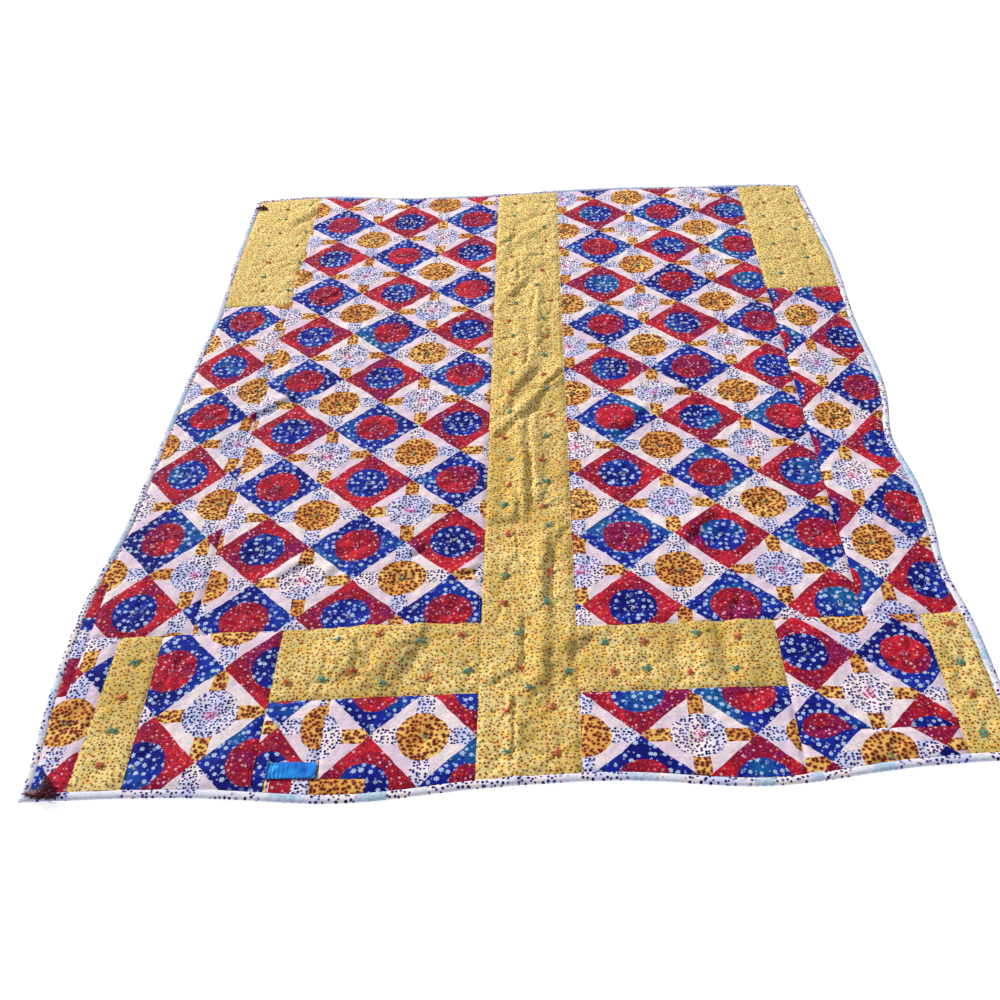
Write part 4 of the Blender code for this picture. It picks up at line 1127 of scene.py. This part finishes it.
def tiePaths(x, y, z, big):
    # a small knot with loose tails lying on the cloth; the ties on the yellow cloth are fluffier
    paths = []
    heading = random.uniform(0, 6.28)
    worn = 1 - 0.42 * min(max((y + 0.2) / 1.0, 0), 1)  # the far ties are the flattest
    knot = 0.0024 * worn if big else 0.0018
    for turn in range(2):
        spin = heading + turn * 1.57
        loop = np.linspace(0, 2 * math.pi, 9)[:-1]
        line = [(x + knot * 0.9 * math.cos(spin) * math.cos(q) - knot * 0.5 * math.sin(spin) * math.sin(q),
                 y + knot * 0.9 * math.sin(spin) * math.cos(q) + knot * 0.5 * math.cos(spin) * math.sin(q),
                 z + knot * (0.9 + 0.5 * math.sin(q + turn))) for q in loop]
        paths.append((line, [knot * 0.55] * 8, 5))
    tails = 9 if big else 3
    for tail in range(tails):
        turn = heading + tail * 6.28 / tails + random.normal(0, 0.5)
        length = worn * random.uniform(0.007, 0.0135) if big else random.uniform(0.007, 0.015)
        curl = random.normal(0, 0.9 if big else 1.7)
        q = np.linspace(0, 1, 6 if big else 8)
        line = np.stack([x + length * q * np.cos(turn + curl * q), y + length * q * np.sin(turn + curl * q),
                         z + 0.0012 + 0.0020 * np.sin(math.pi * np.clip(q * 1.25, 0, 1)) * (1 - 0.4 * q)
                         + 0.0008 * q], axis=-1)
        paths.append((line, (0.0013 - 0.0004 * q) if big else (0.0010 - 0.0004 * q), 4))
    return paths


tieSets = {kind: [] for kind in yarns}
for panel, places in tiePlaces.items():
    for x, y, kind in places:
        tieSets[kind] += tiePaths(x, y, heightAt(panel, x, y), panel.startswith("yellow"))
for kind, paths in tieSets.items():
    piece = yarnPiece("ties_" + kind, paths, yarnSurface("Yarn " + kind, *yarns[kind]))
print("ties ready:", sum(len(places) for places in tiePlaces.values()))


# Corner tufts: crinkled strands drawn through one knot

tufts = {  # petals of crinkled cloth: heading in degrees, length, width, curl in radians, surface
    "tuft_near_left": {"knot": (-0.887, -1.181), "knotSize": 0.0060, "lift": 0.0072,
                       "petals": ((98, 0.052, 0.019, 0.22, 0), (165, 0.047, 0.018, 0.20, 1),
                                   (184, 0.040, 0.012, -0.1, 0),
                                  (350, 0.026, 0.020, 0.20, 0), (32, 0.024, 0.016, 0.2, 0),
                                   (200, 0.020, 0.012, 0.4, 0)),
                       "wisps": ((150, 0.050), (138, 0.046), (160, 0.044),
                                  (118, 0.040), (84, 0.036), (330, 0.030)),
                       "strands": 40},
    "tuft_far_left": {"knot": (-0.889, 1.083), "knotSize": 0.0046, "lift": 0.0048,
                      "petals": ((70, 0.022, 0.013, 0.3, 0), (178, 0.024, 0.013, 0.2, 0),
                                  (352, 0.023, 0.013, -0.2, 0),
                                 (110, 0.016, 0.010, 0.2, 1), (262, 0.013, 0.010, 0.0, 1)),
                      "wisps": ((140, 0.024), (40, 0.024)), "strands": 34},
}


def tuftPetal(facts, base, heading, length, width, curl):
    # one lobe of thin cloth: widest near the knot, rippled further out, with a drooping narrow tip
    s, q = np.meshgrid(np.linspace(-1, 1, 15), np.linspace(0, 1, 24))
    turn = math.radians(heading) + curl * q
    half = width / 2 * (0.08 + (0.45 + 0.60 * np.sin(math.pi * q ** 0.7)) * (1 - q ** 1.8)
                        + 0.05 * np.sin(q * 19 + heading))
    x = facts["knot"][0] + length * q * np.cos(turn) - s * half * np.sin(turn)
    y = facts["knot"][1] + length * q * np.sin(turn) + s * half * np.cos(turn)
    z = base + facts["lift"] * np.sin(math.pi * q ** 0.8) ** 0.8 * (1 - 0.45 * s ** 2)
    z = z + 0.0011 * np.sin(s * 6.5 + q * 5 + heading) * (0.25 + 0.75 * q) + 0.0005 * np.sin(q * 37 + s * 5)
    z = np.maximum(z, base + 0.0004)
    return np.stack([x, y, z], -1), np.stack([x, y, z - 0.0005], -1)


def tuftPiece(name, materials):
    facts = tufts[name]
    knotX, knotY = facts["knot"]
    base = quilt["loft"] + 0.0022
    paths = []
    for count in range(facts["strands"]):
        heading, length = facts["petals"][count % len(facts["petals"])][:2]
        turn = math.radians(heading + random.normal(0, 16))
        reach = length * random.uniform(0.45, 0.95)
        q = np.linspace(0, 1, 12)
        crinkle = 0.0012 * np.sin(q * random.uniform(16, 30) + random.uniform(0, 6)) * q
        z = base + facts["lift"] * random.uniform(0.5, 1.1) * np.sin(math.pi * q ** 0.8) + 0.0006
        paths.append((np.stack([knotX + reach * q * np.cos(turn) - crinkle * math.sin(turn),
                                knotY + reach * q * np.sin(turn) + crinkle * math.cos(turn), z], axis=-1),
                      (0.0007 - 0.0003 * q), 4))
    for heading, length in facts["wisps"]:
        q = np.linspace(0, 1, 16)
        turn = math.radians(heading) + 0.5 * np.sin(q * 3 + heading)
        z = base + 0.0012 + facts["lift"] * 0.6 * np.sin(math.pi * q)
        paths.append((np.stack([knotX + length * q * np.cos(turn), knotY + length * q * np.sin(turn), z],
                               axis=-1),
                      (0.0005 - 0.0002 * q), 4))
    for turn in range(8):
        spin = turn * 0.79
        loop = np.linspace(0, 2 * math.pi, 14)[:-1]
        size = facts["knotSize"] * random.uniform(0.55, 0.85)
        paths.append(([(knotX + size * math.cos(spin) * math.cos(q)
                        - size * 0.6 * math.sin(spin) * math.sin(q),
                        knotY + size * math.sin(spin) * math.cos(q)
                        + size * 0.6 * math.cos(spin) * math.sin(q),
                        base + size * (0.75 + 0.45 * math.sin(q + turn))) for q in loop],
                      [facts["knotSize"] * 0.26] * 13, 6))
    points, faces = tubeMesh(paths)
    slots = [0] * len(faces)
    for heading, length, width, curl, surface in facts["petals"]:
        top, bottom = tuftPetal(facts, base, heading, length, width, curl)
        sheet = np.concatenate(sheetFaces(*top.shape[:2])) + len(points)
        points = np.concatenate([points, top.reshape(-1, 3), bottom.reshape(-1, 3)])
        faces += [tuple(face) for face in sheet.tolist()]
        slots += [surface] * len(sheet)
    piece = yarnMesh("yarn_" + name, points, faces, materials, slots)
    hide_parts(name)


maroon = (yarnSurface("Maroon yarn", (0.026, 0.003, 0.010), (0.140, 0.022, 0.038), sheen=0.06),
          yarnSurface("Sheer maroon cloth", (0.150, 0.034, 0.052), (0.430, 0.240, 0.270), sheen=0.06))
for name in tufts:
    tuftPiece(name, maroon)
print("tufts ready")


# Hand stitches along some of the seams

stitching = {"length": 0.0042, "step": 0.0105, "radius": 0.00030, "beside": 0.0052}


def stitchLine(panel, start, stop, place, paths):
    # place(along) gives X and Y of the stitched line
    along = start
    while along < stop:
        q = np.linspace(0, 1, 4)
        reach = stitching["length"] * random.uniform(0.75, 1.15)
        points = np.array([place(along + reach * k) for k in q])
        z = panelTop(panel, points[:, 0], points[:, 1]) - 0.0006 + 0.0007 * np.sin(math.pi * q)
        paths.append((np.column_stack([points, z]), [stitching["radius"]] * 4, 4))
        along += stitching["step"] * random.uniform(0.85, 1.2)


stitches = []
beside = stitching["beside"]
for panel, seam, sign, low, high in (("print_main_left", "side_left", 1, -0.76, 1.10),
                                     ("print_main_left", "band_left", -1, -0.76, 1.10),
                                     ("print_main_right", "band_right", 1, -0.75, 1.10),
                                     ("print_main_right", "side_right", -1, -0.75, 1.10),
                                     ("yellow_near_left", "near_left_strip", -1, -1.14, -0.80)):
    stitchLine(panel, low, high,
               lambda q: (float(betweenEnds(longSeams[seam], q, quilt["length"])) + sign * beside, q),
               stitches)
for panel, seam, sign, low, high in (("yellow_cross_left", "row_left", -1, -0.50, -0.11),
                                     ("yellow_cross_left", "under_cross_left", 1, -0.50, -0.11),
                                     ("yellow_cross_right", "row_right", -1, 0.12, 0.50),
                                     ("yellow_cross_right", "under_cross_right", 1, 0.12, 0.50),
                                     ("print_side_left", "far_block", -1, -0.90, -0.72),
                                     ("print_side_right", "far_block", -1, 0.72, 0.88)):
    stitchLine(panel, low, high,
               lambda q: (q, float(betweenEnds(crossSeams[seam], q, quilt["width"])) + sign * beside),
               stitches)
yarnPiece("hand_stitches", stitches,
          yarnSurface("White sewing thread", (0.70, 0.68, 0.74), (0.90, 0.88, 0.92), 0.6))
print("stitches ready:", len(stitches))


def patchStitches():
    # navy whip stitches along the patch's left and near edges, and a few of green thread at its corners
    width, depth = patch["right"] - patch["left"], patch["far"] - patch["near"]
    navy, green = [], []
    for s, t, turn, length, thread in (
            [(0.012, 0.06 + 0.115 * k, 0.2, 0.0050, navy) for k in range(8)]
            + [(0.04 + 0.072 * k, 0.035, 1.25, 0.0044, navy) for k in range(13)]
            + [(0.060, 0.84, 0.9, 0.0062, green), (0.115, 0.90, 0.3, 0.0056, green),
                (0.93, 0.14, 1.0, 0.0060, green),
               (0.975, 0.30, 1.4, 0.0052, green), (0.86, 0.06, 0.2, 0.0056, green)]):
        q = np.linspace(-0.5, 0.5, 5)
        turn = turn + random.normal(0, 0.15)
        x = patch["left"] + s * width + length * q * math.cos(turn)
        y = patch["near"] + t * depth + length * q * math.sin(turn)
        x, y = np.clip(x, patch["left"], patch["right"]), np.clip(y, patch["near"], patch["far"])
        z = patchHeights(x, y)[1] + 0.0003 + 0.0003 * np.cos(math.pi * q)
        thread.append((np.column_stack([x, y, z]), [0.00045] * 5, 4))
    yarnPiece("patch_stitches_navy", navy,
              yarnSurface("Navy sewing thread", (0.010, 0.008, 0.060), (0.060, 0.040, 0.200)))
    yarnPiece("patch_stitches_green", green,
              yarnSurface("Green sewing thread", (0.020, 0.160, 0.080), (0.060, 0.360, 0.200)))


patchStitches()


# Floor, light and camera

def addLight(name, kind, place, aim, energy, colour, wide):
    # wide is a sun's angle in degrees or a lamp's size in metres
    lamp = bpy.data.lights.new(name, kind)
    lamp.energy, lamp.color = energy, colour
    if kind == "SUN":
        lamp.angle = math.radians(wide)
    else:
        lamp.size = wide
    holder = bpy.data.objects.new(name, lamp)
    holder.location = place
    holder.rotation_euler = (Vector(aim) - Vector(place)).to_track_quat("-Z", "Y").to_euler()
    bpy.context.scene.collection.objects.link(holder)


def stageScene():
    mesh = bpy.data.meshes.new("floor")
    mesh.from_pydata([(-90, -90, -0.0004), (90, -90, -0.0004), (90, 90, -0.0004), (-90, 90, -0.0004)], [],
                     [(0, 1, 2, 3)])
    floor = bpy.data.objects.new("floor", mesh)
    bpy.context.scene.collection.objects.link(floor)
    material = bpy.data.materials.new("Pale floor")
    material.use_nodes = True
    shader = material.node_tree.nodes["Principled BSDF"]
    shader.inputs["Base Color"].default_value = (0.93, 0.93, 0.93, 1.0)
    shader.inputs["Roughness"].default_value = 0.9
    shader.inputs["Specular IOR Level"].default_value = 0.1
    shader.inputs["Emission Color"].default_value = (1.0, 1.0, 1.0, 1.0)
    shader.inputs["Emission Strength"].default_value = 0.62
    mesh.materials.append(material)
    world = bpy.data.worlds.new("studio")
    world.use_nodes = True
    background = world.node_tree.nodes["Background"]
    background.inputs["Color"].default_value = (0.83, 0.89, 1.0, 1.0)
    background.inputs["Strength"].default_value = 0.41
    bpy.context.scene.world = world
    addLight("key", "SUN", (-3.4, 2.6, 2.0), (0.0, 0.0, 0.0), 3.74, (1.0, 0.955, 0.885), 7)
    addLight("far_fill", "AREA", (-0.9, 2.7, 1.7), (-0.1, 0.8, 0.0), 19.0, (1.0, 0.965, 0.93), 1.5)
    bpy.context.scene.view_settings.view_transform = "Standard"
    bpy.context.scene.view_settings.look = "None"


def addCamera():
    eye = bpy.data.cameras.new("camera")
    eye.lens, eye.sensor_width = 40.24, 36.0
    holder = bpy.data.objects.new("camera", eye)
    across = Vector((0.9989388, 0.0208496, -0.0410679))
    up = Vector((0.0163718, 0.6726883, 0.7397448))
    back = Vector((0.0430493, -0.7396322, 0.6716331))
    turn = Matrix((across, up, back)).transposed().to_4x4()
    place = Vector((0.05077 + planShift[0], -2.32576 + planShift[1], 1.76792))
    holder.matrix_world = Matrix.Translation(place) @ turn
    bpy.context.scene.collection.objects.link(holder)
    bpy.context.scene.camera = holder


stageScene()
addCamera()
print("stage ready")
